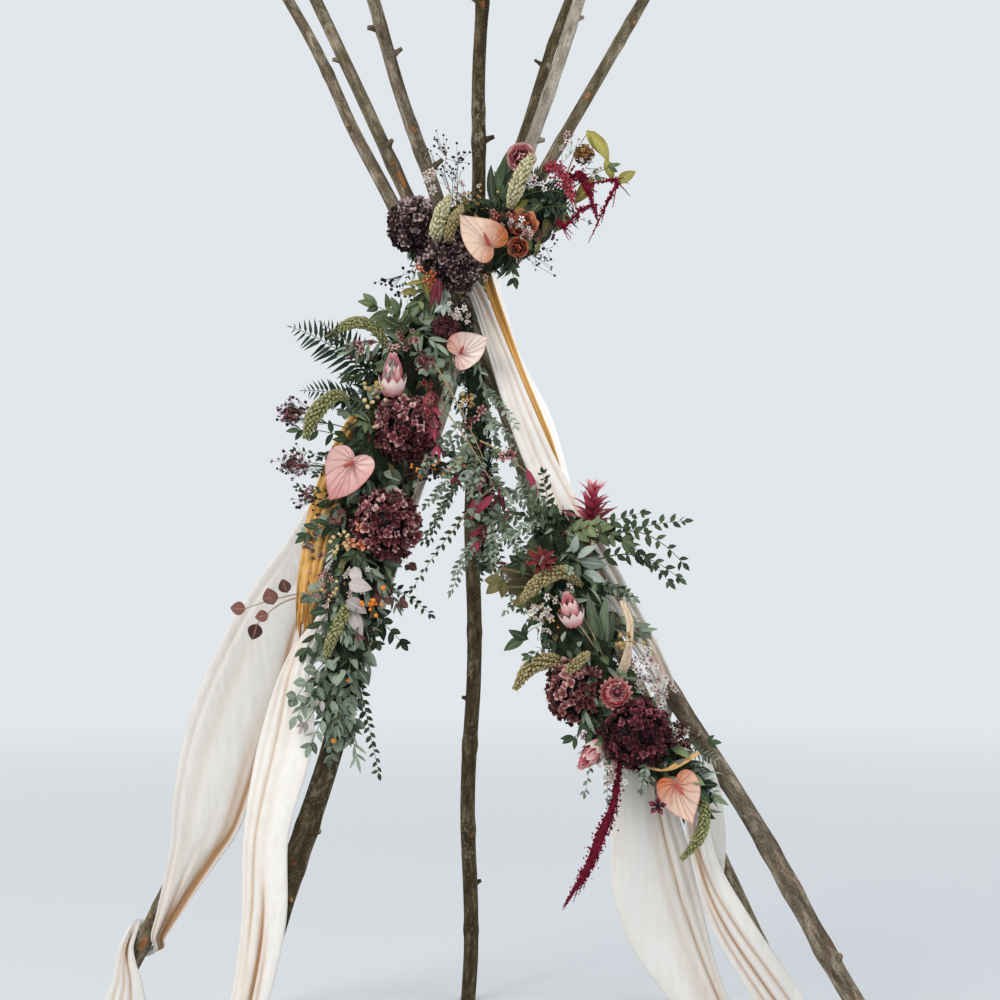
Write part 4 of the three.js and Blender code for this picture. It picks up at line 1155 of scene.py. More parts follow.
KINDS = {
    "olive": ("oval", "olive", TWIG, 46),
    "bay": ("oval", "bay", TWIG, 44),
    "dark": ("oval", "dark", TWIG, 46),
    "strap": ("lance", "dark", GREEN_STEM, 24),
    "fern": ("pinna", "fern", GREEN_STEM, 62),
    "pale_fern": ("pinna", "silver", GREEN_STEM, 62),
    "willow": ("lance", "grey", GREEN_STEM, 34),
    "gum": ("round", "grey", TWIG, 60),
    "long_gum": ("oval", "grey", GREEN_STEM, 42),
    "silver": ("oval", "silver", GREEN_STEM, 40),
    "red_gum": ("round", "red", TWIG, 62),
    "vine": ("small", "grey", GREEN_STEM, 52),
    "dark_vine": ("small", "dark", TWIG, 52),
    "brown": ("broad", "brown", TWIG, 50),
    "lilac": ("oval", "lilac", GREEN_STEM, 40),
    "lilac_big": ("broad", "lilac", GREEN_STEM, 40),
    "crimson": ("lance", "crimson", TWIG, 36),
    "long": ("lance", "sage", TWIG, 30),
}
FRONDS = ("fern", "pale_fern")
SMALL_LEAF = 40
SPRIG_FACE = (0, -1, 0.25)
BLOOM_CLEARANCE = 92
FRONT = -380
GARLAND_STEPS = 60
CORE_ROWS = 70
CORE_COLUMNS = 22
TUFTS = 1400


def sprig(heap, kind, start, end, sag, size, pairs):
    """Leaves in pairs along a bowed stem, smaller toward its tip, with one more at the tip."""
    shape, leaf, stem, angle = KINDS[kind]
    is_frond = kind in FRONDS
    line = bow(start, end, sag)
    thin = 1.2 if size < SMALL_LEAF else 2.2
    heap.add(tube(line, np.linspace(thin, 0.4 * thin, len(line)), 5), stem)
    shares = np.linspace(0.08 if is_frond else 0.16, 0.97, pairs)
    runs = along(line, shares)[1]
    view = square_to(runs, SPRIG_FACE)
    aside = np.cross(runs, view)
    if is_frond:
        sizes = size * np.sin(np.pi * (0.12 + 0.86 * shares)) ** 0.7
    else:
        sizes = size * (1.0 - 0.35 * shares)
    jitter, least, step = (0.3, 0.95, 0) if is_frond else (1.0, 0.8, 0.012)
    for sign in (-1, 1):
        turn = np.radians(angle + jitter * heap.random.normal(0, 12, pairs))[:, None]
        tip = jitter * 0.3 * heap.random.normal(0, 1, (pairs, 1))
        outs = runs * np.cos(turn) + sign * aside * np.sin(turn) + view * tip
        outs[:, 2] -= 0.18 * jitter
        ups = view + jitter * heap.spread(pairs, 0.35)
        lengths = sizes * heap.random.uniform(least, 1.1, pairs)
        places = along(line, np.clip(shares + step * sign, 0, 1))[0]
        heap.scatter(LEAF_SHAPE[shape], places, outs, ups, lengths, LEAF[leaf])
    heap.scatter(LEAF_SHAPE[shape], line[-1:], runs[-1:], view[-1:], sizes[-1:] * 1.05, LEAF[leaf])


def lone_leaf(heap, kind, base, tip):
    """One leaf laid from its base to its tip, with its face to the front."""
    shape, leaf = KINDS[kind][:2]
    out = np.array(tip, float) - base
    up = np.array([0, -1, 0.2]) + heap.spread(1, 0.25)[0]
    heap.scatter(LEAF_SHAPE[shape], [base], out, up, np.linalg.norm(out), LEAF[leaf])


def hides_a_bloom(root, tip):
    """Whether a sprig in front of a garland would cover a heart, a cup or a round head."""
    blooms = [row[0] for table in (HEARTS, CUPS, ROUND_HEADS) for row in table.values()]
    places = np.array(blooms)[:, None, ::2]
    spots = np.linspace(root, tip, 5)[None, 2:, ::2]
    return tip[1] < FRONT and np.linalg.norm(places - spots, axis=2).min() < BLOOM_CLEARANCE


def sprays(heap, trail, count, kind, size, pairs, reach, stretch, fall):
    """Sprigs that stand out of a garland on its front and sides, and hang by the given fall."""
    for share in heap.random.uniform(*stretch, count):
        index = int(share * GARLAND_STEPS)
        away = square_to(trail.tangents[index][None], heap.spread(1) + np.array([0, -0.8, 0]))[0]
        root = trail.line[index] + away * trail.values[index, 0] * 0.6
        tip = root + (away - np.array([0, 0, fall])) * reach * heap.random.uniform(0.7, 1.2)
        if not hides_a_bloom(root, tip):
            sprig(heap, kind, root, tip, 0.08 * reach, size, pairs)


def leafage(heap, trail, count, kinds, size, stretch):
    """Leaves laid like shingles over a garland's core, all round it."""
    spots, runs, radii = trail.at(heap.random.uniform(*stretch, count))
    away = around(runs, heap.random.uniform(0, FULL_TURN, count))
    places = spots + away * radii[:, None] * 0.85 * heap.random.uniform(0.75, 1.05, (count, 1))
    low = runs * np.where(runs[:, 2:] < 0, 1, -1)
    outs = 0.65 * away + 0.7 * low + heap.spread(count, 0.35)
    ups = away + heap.spread(count, 0.4)
    sizes = size * heap.random.uniform(0.6, 1.25, count)
    picks = heap.random.integers(0, len(kinds), count)
    for index, kind in enumerate(kinds):
        own = picks == index
        if own.any():
            shape, leaf = KINDS[kind][:2]
            heap.scatter(LEAF_SHAPE[shape], places[own], outs[own], ups[own], sizes[own], LEAF[leaf])


def core(heap, stations, filling):
    """The dark, lumpy moss that fills a share of a garland's thickness, with tufts all over it."""
    trail = Trail(stations, CORE_ROWS)
    lumps = heap.random.normal(0, 0.07, (CORE_ROWS + 1, CORE_COLUMNS))
    lumps = (lumps + np.roll(lumps, 1, 1) + np.roll(lumps, 1, 0)) / 1.6
    inset = np.minimum(np.linspace(0, 9, CORE_ROWS + 1), np.linspace(9, 0, CORE_ROWS + 1))
    ends = np.sqrt(np.clip(inset + 0.15, 0, 1))
    radius = trail.values * filling * (1 + lumps) * ends[:, None]
    heap.add(tube(trail.line, radius, CORE_COLUMNS), MOSS, 0.1)
    spots, runs, radii = trail.at(heap.random.uniform(0.01, 0.99, TUFTS))
    away = square_to(runs, heap.spread(TUFTS))
    outs = away + heap.spread(TUFTS, 0.6)
    places = spots + away * (radii * filling)[:, None] * 0.98
    ups = heap.spread(TUFTS)
    heap.scatter(TUFT, places, outs, ups, heap.random.uniform(12, 30, TUFTS), LEAF["fern"])


def branch(heap, at, root, places, radius, stem):
    """A twig from the root toward a cluster, which forks twice before it reaches the places."""
    root, at = np.array(root, float), np.array(at, float)
    fork = root + (at - root) * 0.45
    heap.add(tube(bow(root, fork, 4, 4), 1.6 * radius, 4), stem)
    groups = max(len(places) // 5, 1)
    knots = places[:groups] * 0.55 + fork * 0.45
    for knot in knots:
        middle = (fork + knot) / 2 + heap.spread(1, 3)[0]
        heap.add(tube(np.vstack([fork, middle, knot]), 0.9 * radius, 3), stem)
    for place in places:
        knot = knots[np.argmin(np.linalg.norm(knots - place, axis=1))]
        middle = (knot + place) / 2 + heap.spread(1, 2)[0]
        heap.add(tube(np.vstack([knot, middle, place]), [0.7 * radius, 0.6 * radius, 0.5 * radius], 3), stem)


def berries(heap, at, root, count, spread, size, berry):
    """Berries on thin twigs, round a place."""
    places = np.array(at) + heap.spread(count) * np.array(spread)
    branch(heap, at, root, places, 1.0, TWIG)
    outs, ups = heap.spread(count), heap.spread(count)
    heap.scatter(BEAD, places, outs, ups, size * heap.random.uniform(0.7, 1.2, count), BERRY[berry])


def blossoms(heap, at, root, count, spread, size, petal, eye="dark"):
    """Small five-petalled flowers on thin stems, round a place, each with an eye."""
    places = np.array(at) + heap.spread(count) * np.array(spread)
    branch(heap, at, root, places, 0.9, GREEN_STEM)
    ups = np.array([0, -1, 0.3]) + heap.spread(count, 0.55)
    outs = heap.spread(count)
    sizes = size * heap.random.uniform(0.75, 1.2, count)
    heap.scatter(STAR, places, flat_to(ups, outs), ups, sizes, PETAL[petal])
    heap.scatter(DROP, places + unit(ups) * size * 0.12, ups, outs, sizes * 0.26, BERRY[eye])


# Flower heads

GRAIN_TURN = 2.39996
TAIL_STEPS = 40
HEART_RINGS = 16
HEART_STEPS = 24
WHORLS = 7
COLLAR_LEAVES = 10
STAMENS = 90
RIM_STAMENS = 160
SPIDER_THREADS = 26
STRAND_BEADS = 14
SPATHE_STEM = 150
WIDE_OPEN = 0.4

# The right side of a heart: two Bezier curves, in shares of its half width and of its length

HEART_CURVES = (
    ((0, 0.3), (0.5, 0.52), (1.15, 0.38), (1, 0.08)), ((1, 0.08), (0.9, -0.2), (0.25, -0.38), (0, -0.52)),
)


def seed_head(heap, stations, seed):
    """Grains set in threes close round a bent stalk, with fine bristles between them."""
    trail = Trail(stations, TAIL_STEPS)
    heap.add(tube(trail.line, np.maximum(trail.values * 0.55, 1.5), 8), SEED[seed], 0.1)
    length = np.linalg.norm(np.diff(trail.line, axis=0), axis=1).sum()
    count = 3 * int(length * 0.98)
    cluster = np.arange(count) // 3 * 3
    within = np.arange(count) % 3
    shares = np.clip((cluster + 1.5) / count + heap.random.normal(0, 1.6, count) / length, 0, 1)
    spots, runs, radii = trail.at(shares)
    away = around(runs, cluster / 3 * GRAIN_TURN + heap.random.normal(0, 0.1, count))
    places = spots + away * radii[:, None] * (0.56 + 0.1 * within[:, None])
    outs = away * 0.6 + runs * 0.8 + heap.spread(count, 0.2)
    tints = np.clip(0.1 + 0.36 * within + heap.random.normal(0, 0.12, count), 0, 1)
    sizes = (0.13 * radii + 1.6) * heap.random.uniform(0.8, 1.2, count)
    heap.scatter(GRAIN, places, outs, runs, sizes, SEED[seed], tints)
    many = int(1.6 * count)
    spots, runs, radii = trail.at(heap.random.uniform(0.02, 0.98, many))
    away = square_to(runs, heap.spread(many))
    places = spots + away * radii[:, None] * 0.6
    heap.scatter(BRISTLE, places, away + 0.5 * runs, runs, 4 + radii * 0.5, SEED[seed])


def tassel(heap, stations, material, count, bead, strands, body=0.3):
    """A hanging flower tassel: beads heaped round its line, and short strands of them."""
    trail = Trail(stations, TAIL_STEPS)
    heap.add(tube(trail.line, np.maximum(trail.values * body, 0.8), 7), material, 0.15)
    spots, runs, radii = trail.at(heap.random.uniform(0, 1, count))
    places = spots + heap.spread(count, 0.5) * radii[:, None]
    sizes = bead * heap.random.uniform(0.5, 1.25, count) * (0.55 + 0.45 * np.minimum(radii / 14, 1))
    heap.scatter(DROP, places, runs + heap.spread(count, 0.4), heap.spread(count), sizes, material)
    for _ in range(strands):
        spot, run = along(trail.line, [heap.random.uniform(0.1, 0.9)])
        tip = spot[0] + run[0] * 52 + heap.random.normal(0, 6, 3) + np.array([0, 0, -8])
        strand = bow(spot[0], tip, 0, STRAND_BEADS - 1) + heap.spread(STRAND_BEADS, 0.8)
        heap.add(tube(strand, np.linspace(0.55 * bead, 0.2 * bead, STRAND_BEADS), 4), material, 0.4)
        outs, ups = heap.spread(STRAND_BEADS), heap.spread(STRAND_BEADS)
        sizes = np.linspace(bead * 0.8, bead * 0.4, STRAND_BEADS)
        heap.scatter(DROP, strand, outs, ups, sizes, material)


def globe(count, random):
    """Directions nearly even over a ball."""
    index = np.arange(count) + 0.5
    rise = 1 - 2 * index / count
    turn = index * math.pi * (3 - math.sqrt(5))
    flat = np.sqrt(1 - rise**2)
    points = np.column_stack([flat * np.cos(turn), flat * np.sin(turn), rise])
    return unit(points + random.normal(0, 0.09, (count, 3)))


def flower_ball(heap, at, radius, floret, count, size, petal, inner):
    """A round head of many florets round a ball of the inner material. The florets that face up and those
    that face the front are paler: a painted highlight.
    """
    away = globe(count, heap.random)
    squash = np.array([1, 0.86, 1])
    # The inner ball, near black in the round heads, is painted shade between the florets
    heap.scatter(ball(16, 10), [at], [0, 0, 1], [1, 0, 0], radius * 0.78, inner, [0.0])
    places = np.array(at) + away * squash * radius * heap.random.uniform(0.80, 1.06, (count, 1))
    outs = np.cross(away, heap.spread(count))
    ups = away + heap.spread(count, 0.42)
    # Painted highlight: florets that face up and those that face the front are paler
    tints = 0.34 + 0.26 * away[:, 2] - 0.12 * away[:, 1] + heap.random.normal(0, 0.3, count)
    sizes = size * heap.random.uniform(0.75, 1.2, count)
    heap.scatter(floret, places, flat_to(ups, outs), ups, sizes, petal, np.clip(tints, 0, 1))


def heart(length, width, warm):
    """A cupped heart face up, its tip along -Y. Its tint is warmer toward the given side."""
    size = [width / 2, length]
    t = np.linspace(0, 1, HEART_STEPS, endpoint=False)[:, None]
    right = np.vstack([
        (1 - t) ** 3 * a + 3 * t * (1 - t) ** 2 * b + 3 * t**2 * (1 - t) * c + t**3 * d
        for a, b, c, d in np.array(HEART_CURVES) * size
    ])
    left = (right * [-1, 1])[1:][::-1]
    outline = np.vstack([right, np.array(HEART_CURVES[1][-1:]) * size, left])
    middle = np.array([0, 0.22 * length])
    reach = np.linspace(0.02, 1, HEART_RINGS)[:, None]
    x, y = np.moveaxis(middle + (outline - middle) * reach[..., None], -1, 0)
    turn = np.linspace(0, 1, len(outline))[None] + 0 * x
    ripple = 0.028 * length * np.sin(FULL_TURN * 4 * turn + 1) * reach**3
    z = 0.0034 * x**2 + 0.0016 * y**2 - 0.004 * length * reach**2 + ripple
    points = np.stack([x, y, z], -1).reshape(-1, 3)
    marks = np.stack([reach + 0 * x, turn], -1).reshape(-1, 2)
    side = (x * warm[0] + y * warm[1]) / (0.5 * length)
    shape = points, marks, grid_faces(HEART_RINGS, len(outline), True)
    return shape, np.clip(0.3 + 0.72 * side, 0, 1).ravel()


def spathe(heap, at, length, width, tip, face, colour, warm):
    """A heart-shaped bloom with its spadix and stem."""
    (points, marks, faces), tints = heart(length, width, warm)
    out = -unit(tip)
    up = square_to(out[None], face)[0]
    axes = np.stack([np.cross(out, up), out, up])
    middle = np.array(at) + out * 0.22 * length
    heap.add((points @ axes + np.array(at), marks, faces), SPATHE[colour], tints)
    spike = bow(middle - up * 2, middle + up * length * 0.30 - out * length * 0.2, 0, 8)
    heap.add(tube(spike, np.array([4, 5, 5.5, 5.5, 5.2, 5, 4.4, 3.6, 2.0]) * length / 165, 9), SPADIX)
    heap.add(tube(bow(middle, middle - up * SPATHE_STEM, 0, 6), 3.0, 6), GREEN_STEM)


def on_axis(heap, shape, at, axis, material, tint):
    """A rosette set with its middle at a place and facing along an axis."""
    axis = unit(axis)
    side = square_to(axis[None], (0.3, 0.2, 1) if abs(axis[2]) < 0.8 else (1, 0.3, 0))[0]
    heap.scatter(shape, [at], side, axis, 1.0, material, [tint])


def thread(width, curl=0.3):
    """A stamen, a little curled."""
    return blade(width, 1, 2, 1, curl, 0)


def protea(heap, at, axis, length, mouth, rows, first, ratio, opening, petal):
    """Rows of pointed bracts round a fuzzy middle. A larger opening lays the outer rows further back."""
    axis = unit(axis)
    base = np.array(at) - axis * length * 0.22
    bract = blade(ratio, 0.85, 7, 2, -0.5, 0.3)
    inner = base + axis * length * 0.12
    heap.scatter(ball(12, 7), [inner], axis, (1, 0, 0), mouth * 0.62, PETAL[petal], [0.1])
    for row in range(rows):
        share = row / (rows - 1)
        lift = math.radians(86 - (20 + 60 * opening) * share)
        size = length * (1.12 - 0.5 * share)
        reach = mouth * (0.22 + 0.3 * share)
        ring = rosette(bract, first + 2 * row, lift, reach, -0.1 * length * share, 0.7 * row, size)
        on_axis(heap, ring, base, axis, PETAL[petal], 0.3 + 0.6 * share)
    spots = heap.random.normal(0, 0.22, (STAMENS, 2)) * mouth
    side = square_to(axis[None], (1, 0.2, 0))[0]
    other = np.cross(axis, side)
    places = base + spots[:, :1] * side + spots[:, 1:] * other
    outs = axis + heap.spread(STAMENS, 0.1)
    heap.scatter(thread(0.06), places, outs, side, length * 0.8, PETAL["burgundy"])
    if opening > WIDE_OPEN:
        turns = heap.random.uniform(0, FULL_TURN, (RIM_STAMENS, 1))
        ring = base + (np.cos(turns) * side + np.sin(turns) * other) * mouth * 0.36 + axis * length * 0.5
        outs = axis + heap.spread(RIM_STAMENS, 0.35)
        heap.scatter(thread(0.1), ring, outs, side, length * 0.42, PETAL["white"])
        button = base + axis * length * 0.75
        heap.scatter(BEAD, [button], axis, side, mouth * 0.28, PETAL["burgundy"], [0.0])
    heap.add(tube(bow(base, base - axis * 60 + np.array([0, 60, 0]), 0, 5), 4.0, 6), TWIG)


def ginger(heap, at, axis, length):
    """A torch-like head: whorls of narrow bracts up a stalk, the lower ones long and splayed."""
    axis = unit(axis)
    base = np.array(at) - axis * length * 0.25
    bract = blade(0.36, 0.62, 6, 2, 0.7, 0.35)
    for row in range(WHORLS):
        share = row / (WHORLS - 1)
        size = (0.62 - 0.26 * share) * length * (0.85 + 0.2 * math.sin(3 * row))
        ring = rosette(bract, 5, math.radians(28 + 48 * share), 6, length * 0.72 * share, 0.55 * row, size)
        on_axis(heap, ring, base, axis, PETAL["magenta"], 0.15 + 0.6 * share)
    outs = axis * 0.7 + heap.spread(COLLAR_LEAVES, 0.8)
    collar = np.repeat([base + axis * 10], COLLAR_LEAVES, 0)
    heap.scatter(LEAF_SHAPE["lance"], collar, outs, axis, length * 0.7, LEAF["crimson"])
    heap.add(tube(bow(base + axis * length * 0.8, base - axis * 100, 0, 6), 5.0, 7), PETAL["magenta"], 0.2)


def spider(heap, at, axis, size, petal):
    """A flower of narrow petals round a bunch of pale threads."""
    axis = unit(axis)
    for row in range(2):
        ring = rosette(blade(0.36, 0.7, 5, 2, 0.6, 0.3), 6, 0.35 + 0.35 * row, 0.08, 0.0, 0.4 * row, size)
        on_axis(heap, ring, at, axis, PETAL[petal], 0.2 * row)
    outs = axis + heap.spread(SPIDER_THREADS, 0.45)
    middles = np.repeat([np.array(at, float)], SPIDER_THREADS, 0)
    heap.scatter(thread(0.05, 0.5), middles, outs, (0, 0, 1), size * 0.6, PETAL["white"])


# Rings of a rose from its middle out: petals, length as a share of the radius, and lift in degrees

ROSE_RINGS = [(3, 0.5, 84), (4, 0.62, 72), (5, 0.78, 58), (6, 0.95, 40), (7, 1.08, 22)]


def rose(heap, at, axis, radius, petal):
    cup = blade(1.05, 0.62, 5, 4, -0.9, -0.12, 0.05)
    for index, (count, reach, lift) in enumerate(ROSE_RINGS):
        drop = -0.1 * radius * index
        ring = rosette(cup, count, math.radians(lift), 0.08 * radius, drop, 0.8 * index, reach * radius)
        on_axis(heap, ring, at, axis, PETAL[petal], 0.2 + 0.13 * index)


# Garlands: stations of their cores as x, y, z and radius

GARLANDS = {
    "garland_crown": [
        (-185, -235, 2625, 60), (-90, -255, 2570, 108), (40, -250, 2575, 118), (150, -245, 2640, 95),
        (265, -240, 2715, 52),
    ],
    "garland_left": [
        (-100, -250, 2405, 50), (-160, -235, 2275, 80), (-230, -245, 2100, 108), (-280, -290, 1915, 115),
        (-300, -345, 1735, 100), (-330, -415, 1540, 85), (-345, -480, 1360, 62), (-350, -530, 1175, 26),
    ],
    "garland_centre": [
        (-40, -275, 2400, 34), (-5, -300, 2180, 44), (15, -320, 2030, 46), (30, -340, 1890, 40),
        (40, -360, 1760, 30), (35, -370, 1620, 14),
    ],
    "garland_right": [
        (210, -450, 1790, 44), (255, -510, 1640, 90), (270, -560, 1500, 110), (320, -610, 1330, 110),
        (410, -655, 1210, 105), (520, -680, 1110, 62), (590, -690, 1030, 26),
    ],
}

# Sprigs: kind, root, tip, lift of the middle, leaf length and pairs

SPRIGS = {
    "garland_crown": [
        ("bay", (200, -270, 2650), (390, -330, 2770), 15, 46, 5),
        ("fern", (130, -290, 2690), (280, -320, 2690), 18, 44, 15),
        ("fern", (120, -290, 2700), (205, -320, 2760), 12, 38, 12),
        ("fern", (160, -300, 2650), (295, -330, 2650), 10, 38, 12),
        ("dark_vine", (-130, -290, 2540), (-195, -350, 2430), 10, 18, 7),
        ("dark_vine", (120, -330, 2530), (205, -390, 2490), 10, 16, 6),
        ("dark_vine", (230, -300, 2620), (330, -330, 2610), 12, 16, 6),
        ("bay", (-90, -330, 2480), (-150, -430, 2360), 10, 70, 4),
        ("silver", (-80, -350, 2460), (-80, -440, 2350), 0, 52, 3),
        ("olive", (-100, -360, 2440), (-165, -430, 2400), 5, 60, 3),
    ],
    "garland_left": [
        ("fern", (-240, -290, 2120), (-505, -380, 2300), 26, 70, 18),
        ("fern", (-250, -310, 2150), (-420, -390, 2310), 15, 56, 15),
        ("fern", (-280, -330, 2080), (-470, -400, 2120), 14, 50, 15),
        ("dark", (-280, -330, 1950), (-480, -400, 2010), 20, 56, 5),
        ("bay", (-150, -280, 2300), (-120, -380, 2425), 5, 80, 4),
        ("bay", (-170, -290, 2290), (-270, -380, 2360), 12, 84, 4),
        ("bay", (-190, -290, 2250), (-210, -400, 2340), 8, 80, 3),
        ("willow", (-180, -290, 2270), (-330, -390, 2240), 12, 88, 5),
        ("willow", (-180, -300, 2300), (-100, -400, 2250), 8, 86, 4),
        ("dark_vine", (-300, -360, 1780), (-480, -420, 1850), 15, 24, 9),
        ("dark_vine", (-300, -360, 1880), (-490, -420, 1950), 15, 24, 8),
        ("gum", (-180, -280, 2260), (-80, -360, 2170), 10, 42, 5),
        ("willow", (-330, -440, 1680), (-250, -500, 1590), 10, 76, 4),
        ("dark_vine", (-330, -470, 1420), (-245, -540, 1085), 8, 32, 14),
        ("long_gum", (-350, -470, 1380), (-448, -656, 1240), 12, 54, 7),
        ("long_gum", (-340, -480, 1400), (-370, -560, 1130), 0, 52, 11),
        ("long_gum", (-330, -480, 1480), (-320, -560, 1230), 0, 54, 9),
        ("gum", (-345, -480, 1420), (-452, -640, 1290), 10, 44, 5),
        ("dark", (-350, -470, 1560), (-440, -530, 1410), 10, 60, 5),
        ("long_gum", (-340, -490, 1340), (-412, -644, 1170), 8, 52, 7),
        ("willow", (-350, -500, 1300), (-300, -570, 1130), 4, 62, 7),
        ("gum", (-350, -500, 1330), (-350, -570, 1170), 0, 42, 6),
        ("lilac", (-350, -500, 1340), (-425, -660, 1225), 4, 48, 3),
        ("crimson", (-130, -370, 2110), (-95, -450, 1960), 6, 60, 4),
        ("crimson", (-120, -370, 2140), (-105, -455, 2010), 4, 66, 5),
    ],
    "garland_centre": [
        ("vine", (5, -320, 2080), (150, -370, 1940), 10, 27, 12),
        ("vine", (15, -330, 1960), (-130, -380, 1800), 8, 27, 12),
        ("vine", (30, -340, 1880), (180, -400, 1770), 12, 27, 12),
        ("vine", (35, -360, 1760), (-60, -390, 1560), 8, 26, 12),
        ("vine", (30, -350, 1850), (45, -410, 1640), 0, 26, 14),
        ("vine", (35, -360, 1800), (130, -410, 1650), 10, 26, 12),
        ("vine", (100, -380, 1850), (210, -450, 1770), 10, 27, 10),
        ("vine", (40, -360, 1850), (190, -430, 1660), 14, 28, 12),
        ("dark_vine", (30, -350, 1830), (20, -400, 1590), 0, 24, 14),
        ("dark_vine", (0, -320, 1960), (-120, -390, 1700), 10, 26, 13),
        ("gum", (20, -340, 1960), (110, -400, 1920), 8, 32, 4),
        ("gum", (30, -340, 1860), (80, -420, 1740), 6, 32, 5),
        ("crimson", (20, -350, 1900), (0, -430, 1810), 8, 58, 3),
        ("crimson", (40, -350, 1860), (90, -430, 1780), 8, 52, 3),
        ("willow", (-20, -300, 2300), (30, -390, 2140), 6, 50, 6),
        ("willow", (-60, -310, 2240), (-70, -400, 2080), 0, 50, 6),
    ],
    "garland_right": [
        ("dark_vine", (320, -530, 1690), (560, -590, 1750), 12, 38, 9),
        ("dark_vine", (320, -550, 1640), (545, -600, 1600), 40, 40, 8),
        ("dark_vine", (400, -560, 1700), (520, -600, 1590), 10, 38, 6),
        ("dark_vine", (340, -540, 1700), (555, -600, 1640), 50, 40, 7),
        ("dark_vine", (330, -540, 1720), (450, -590, 1770), 10, 38, 5),
        ("dark_vine", (210, -470, 1780), (190, -540, 1880), 6, 30, 6),
        ("dark_vine", (240, -500, 1700), (150, -560, 1820), 6, 30, 7),
        ("dark_vine", (200, -470, 1760), (70, -520, 1760), 10, 30, 8),
        ("vine", (200, -480, 1760), (60, -520, 1680), 10, 28, 10),
        ("vine", (210, -490, 1770), (130, -540, 1860), 8, 28, 8),
        ("brown", (230, -530, 1650), (80, -590, 1590), 12, 76, 3),
        ("dark", (250, -540, 1640), (130, -620, 1640), 10, 60, 4),
        ("bay", (290, -540, 1720), (400, -600, 1700), 10, 58, 4),
        ("bay", (240, -530, 1700), (330, -620, 1740), 8, 54, 5),
        ("dark_vine", (230, -560, 1560), (130, -640, 1520), 8, 28, 8),
        ("dark_vine", (290, -600, 1440), (150, -690, 1400), 10, 34, 8),
        ("vine", (340, -640, 1260), (290, -730, 1060), 6, 24, 8),
        ("vine", (350, -660, 1200), (345, -750, 1050), 0, 22, 8),
        ("bay", (420, -650, 1180), (340, -740, 1190), 6, 54, 2),
        ("dark", (360, -660, 1220), (260, -740, 1200), 6, 50, 3),
        ("pale_fern", (550, -690, 1130), (630, -740, 1040), 8, 30, 11),
        ("pale_fern", (540, -690, 1160), (640, -740, 1130), 8, 26, 10),
        ("dark", (450, -690, 1160), (600, -750, 1190), 8, 46, 4),
    ],
}

# Single large leaves, each from its base to its tip

LEAVES = {
    "garland_crown": [
        ("strap", (70, -270, 2690), (100, -275, 2850)), ("strap", (60, -270, 2690), (85, -275, 2835)),
        ("strap", (80, -275, 2690), (125, -280, 2810)), ("strap", (55, -270, 2680), (40, -280, 2800)),
        ("strap", (90, -275, 2680), (60, -285, 2780)), ("olive", (325, -300, 2885), (385, -310, 2812)),
        ("olive", (338, -300, 2878), (398, -310, 2800)), ("olive", (408, -310, 2728), (468, -310, 2770)),
        ("olive", (345, -300, 2745), (292, -320, 2672)), ("olive", (378, -300, 2800), (402, -310, 2740)),
    ],
    "garland_left": [
        ("lilac_big", (-330, -510, 1585), (-270, -535, 1575)),
        ("lilac_big", (-336, -515, 1540), (-280, -540, 1514)),
        ("lilac_big", (-318, -500, 1630), (-304, -530, 1584)),
        ("lilac", (-330, -510, 1520), (-290, -535, 1450)),
        ("red_gum", (-612, -475, 1516), (-652, -485, 1520)),
        ("red_gum", (-538, -475, 1528), (-553, -485, 1572)),
        ("red_gum", (-550, -475, 1500), (-585, -485, 1494)),
        ("red_gum", (-580, -475, 1476), (-592, -485, 1434)),
        ("red_gum", (-500, -475, 1560), (-514, -485, 1596)),
        ("red_gum", (-528, -475, 1550), (-562, -485, 1545)),
        ("bay", (-180, -390, 2330), (-120, -410, 2400)), ("bay", (-120, -390, 2330), (-90, -420, 2420)),
        ("silver", (-240, -410, 2150), (-225, -430, 2220)), ("silver", (-80, -400, 2400), (-95, -440, 2340)),
    ],
    "garland_centre": [
        ("crimson", (60, -430, 1830), (-10, -440, 1760)), ("crimson", (70, -430, 1850), (95, -440, 1780)),
        ("crimson", (150, -430, 1900), (180, -440, 1820)), ("silver", (-40, -420, 1870), (10, -430, 1900)),
    ],
    "garland_right": [
        ("silver", (280, -590, 1652), (322, -620, 1690)), ("silver", (285, -590, 1645), (350, -625, 1632)),
        ("silver", (296, -590, 1618), (345, -625, 1592)), ("silver", (268, -590, 1665), (276, -620, 1708)),
        ("brown", (165, -590, 1605), (80, -615, 1630)), ("brown", (170, -595, 1580), (84, -615, 1570)),
        ("brown", (180, -595, 1560), (110, -620, 1530)), ("dark", (140, -610, 1445), (86, -630, 1415)),
        ("dark", (140, -610, 1445), (140, -635, 1480)), ("dark", (150, -610, 1440), (100, -635, 1460)),
        ("long", (330, -640, 1420), (250, -690, 1530)), ("long", (340, -640, 1420), (292, -700, 1550)),
        ("long", (345, -640, 1420), (335, -700, 1545)), ("long", (350, -640, 1420), (372, -690, 1510)),
        ("long", (330, -640, 1430), (310, -700, 1500)),
    ],
}

# Bare tan twigs that trail from the garlands

TWIGS = {
    "garland_crown": [((260, -290, 2740), (330, -300, 2880)), ((300, -290, 2740), (410, -310, 2730))],
    "garland_left": [((-330, -430, 1570), (-618, -480, 1515)), ((-480, -456, 1545), (-584, -480, 1470))],
    "garland_centre": [
        ((-110, -400, 2200), (30, -420, 1930)), ((20, -400, 1980), (190, -430, 1850)),
        ((-90, -400, 2080), (60, -430, 1850)), ((60, -420, 1850), (-60, -410, 1720)),
    ],
    "garland_right": [((250, -620, 1560), (340, -680, 1400)), ((200, -620, 1560), (320, -690, 1420))],
}

# Berries: place, root, count, spread, size and colour

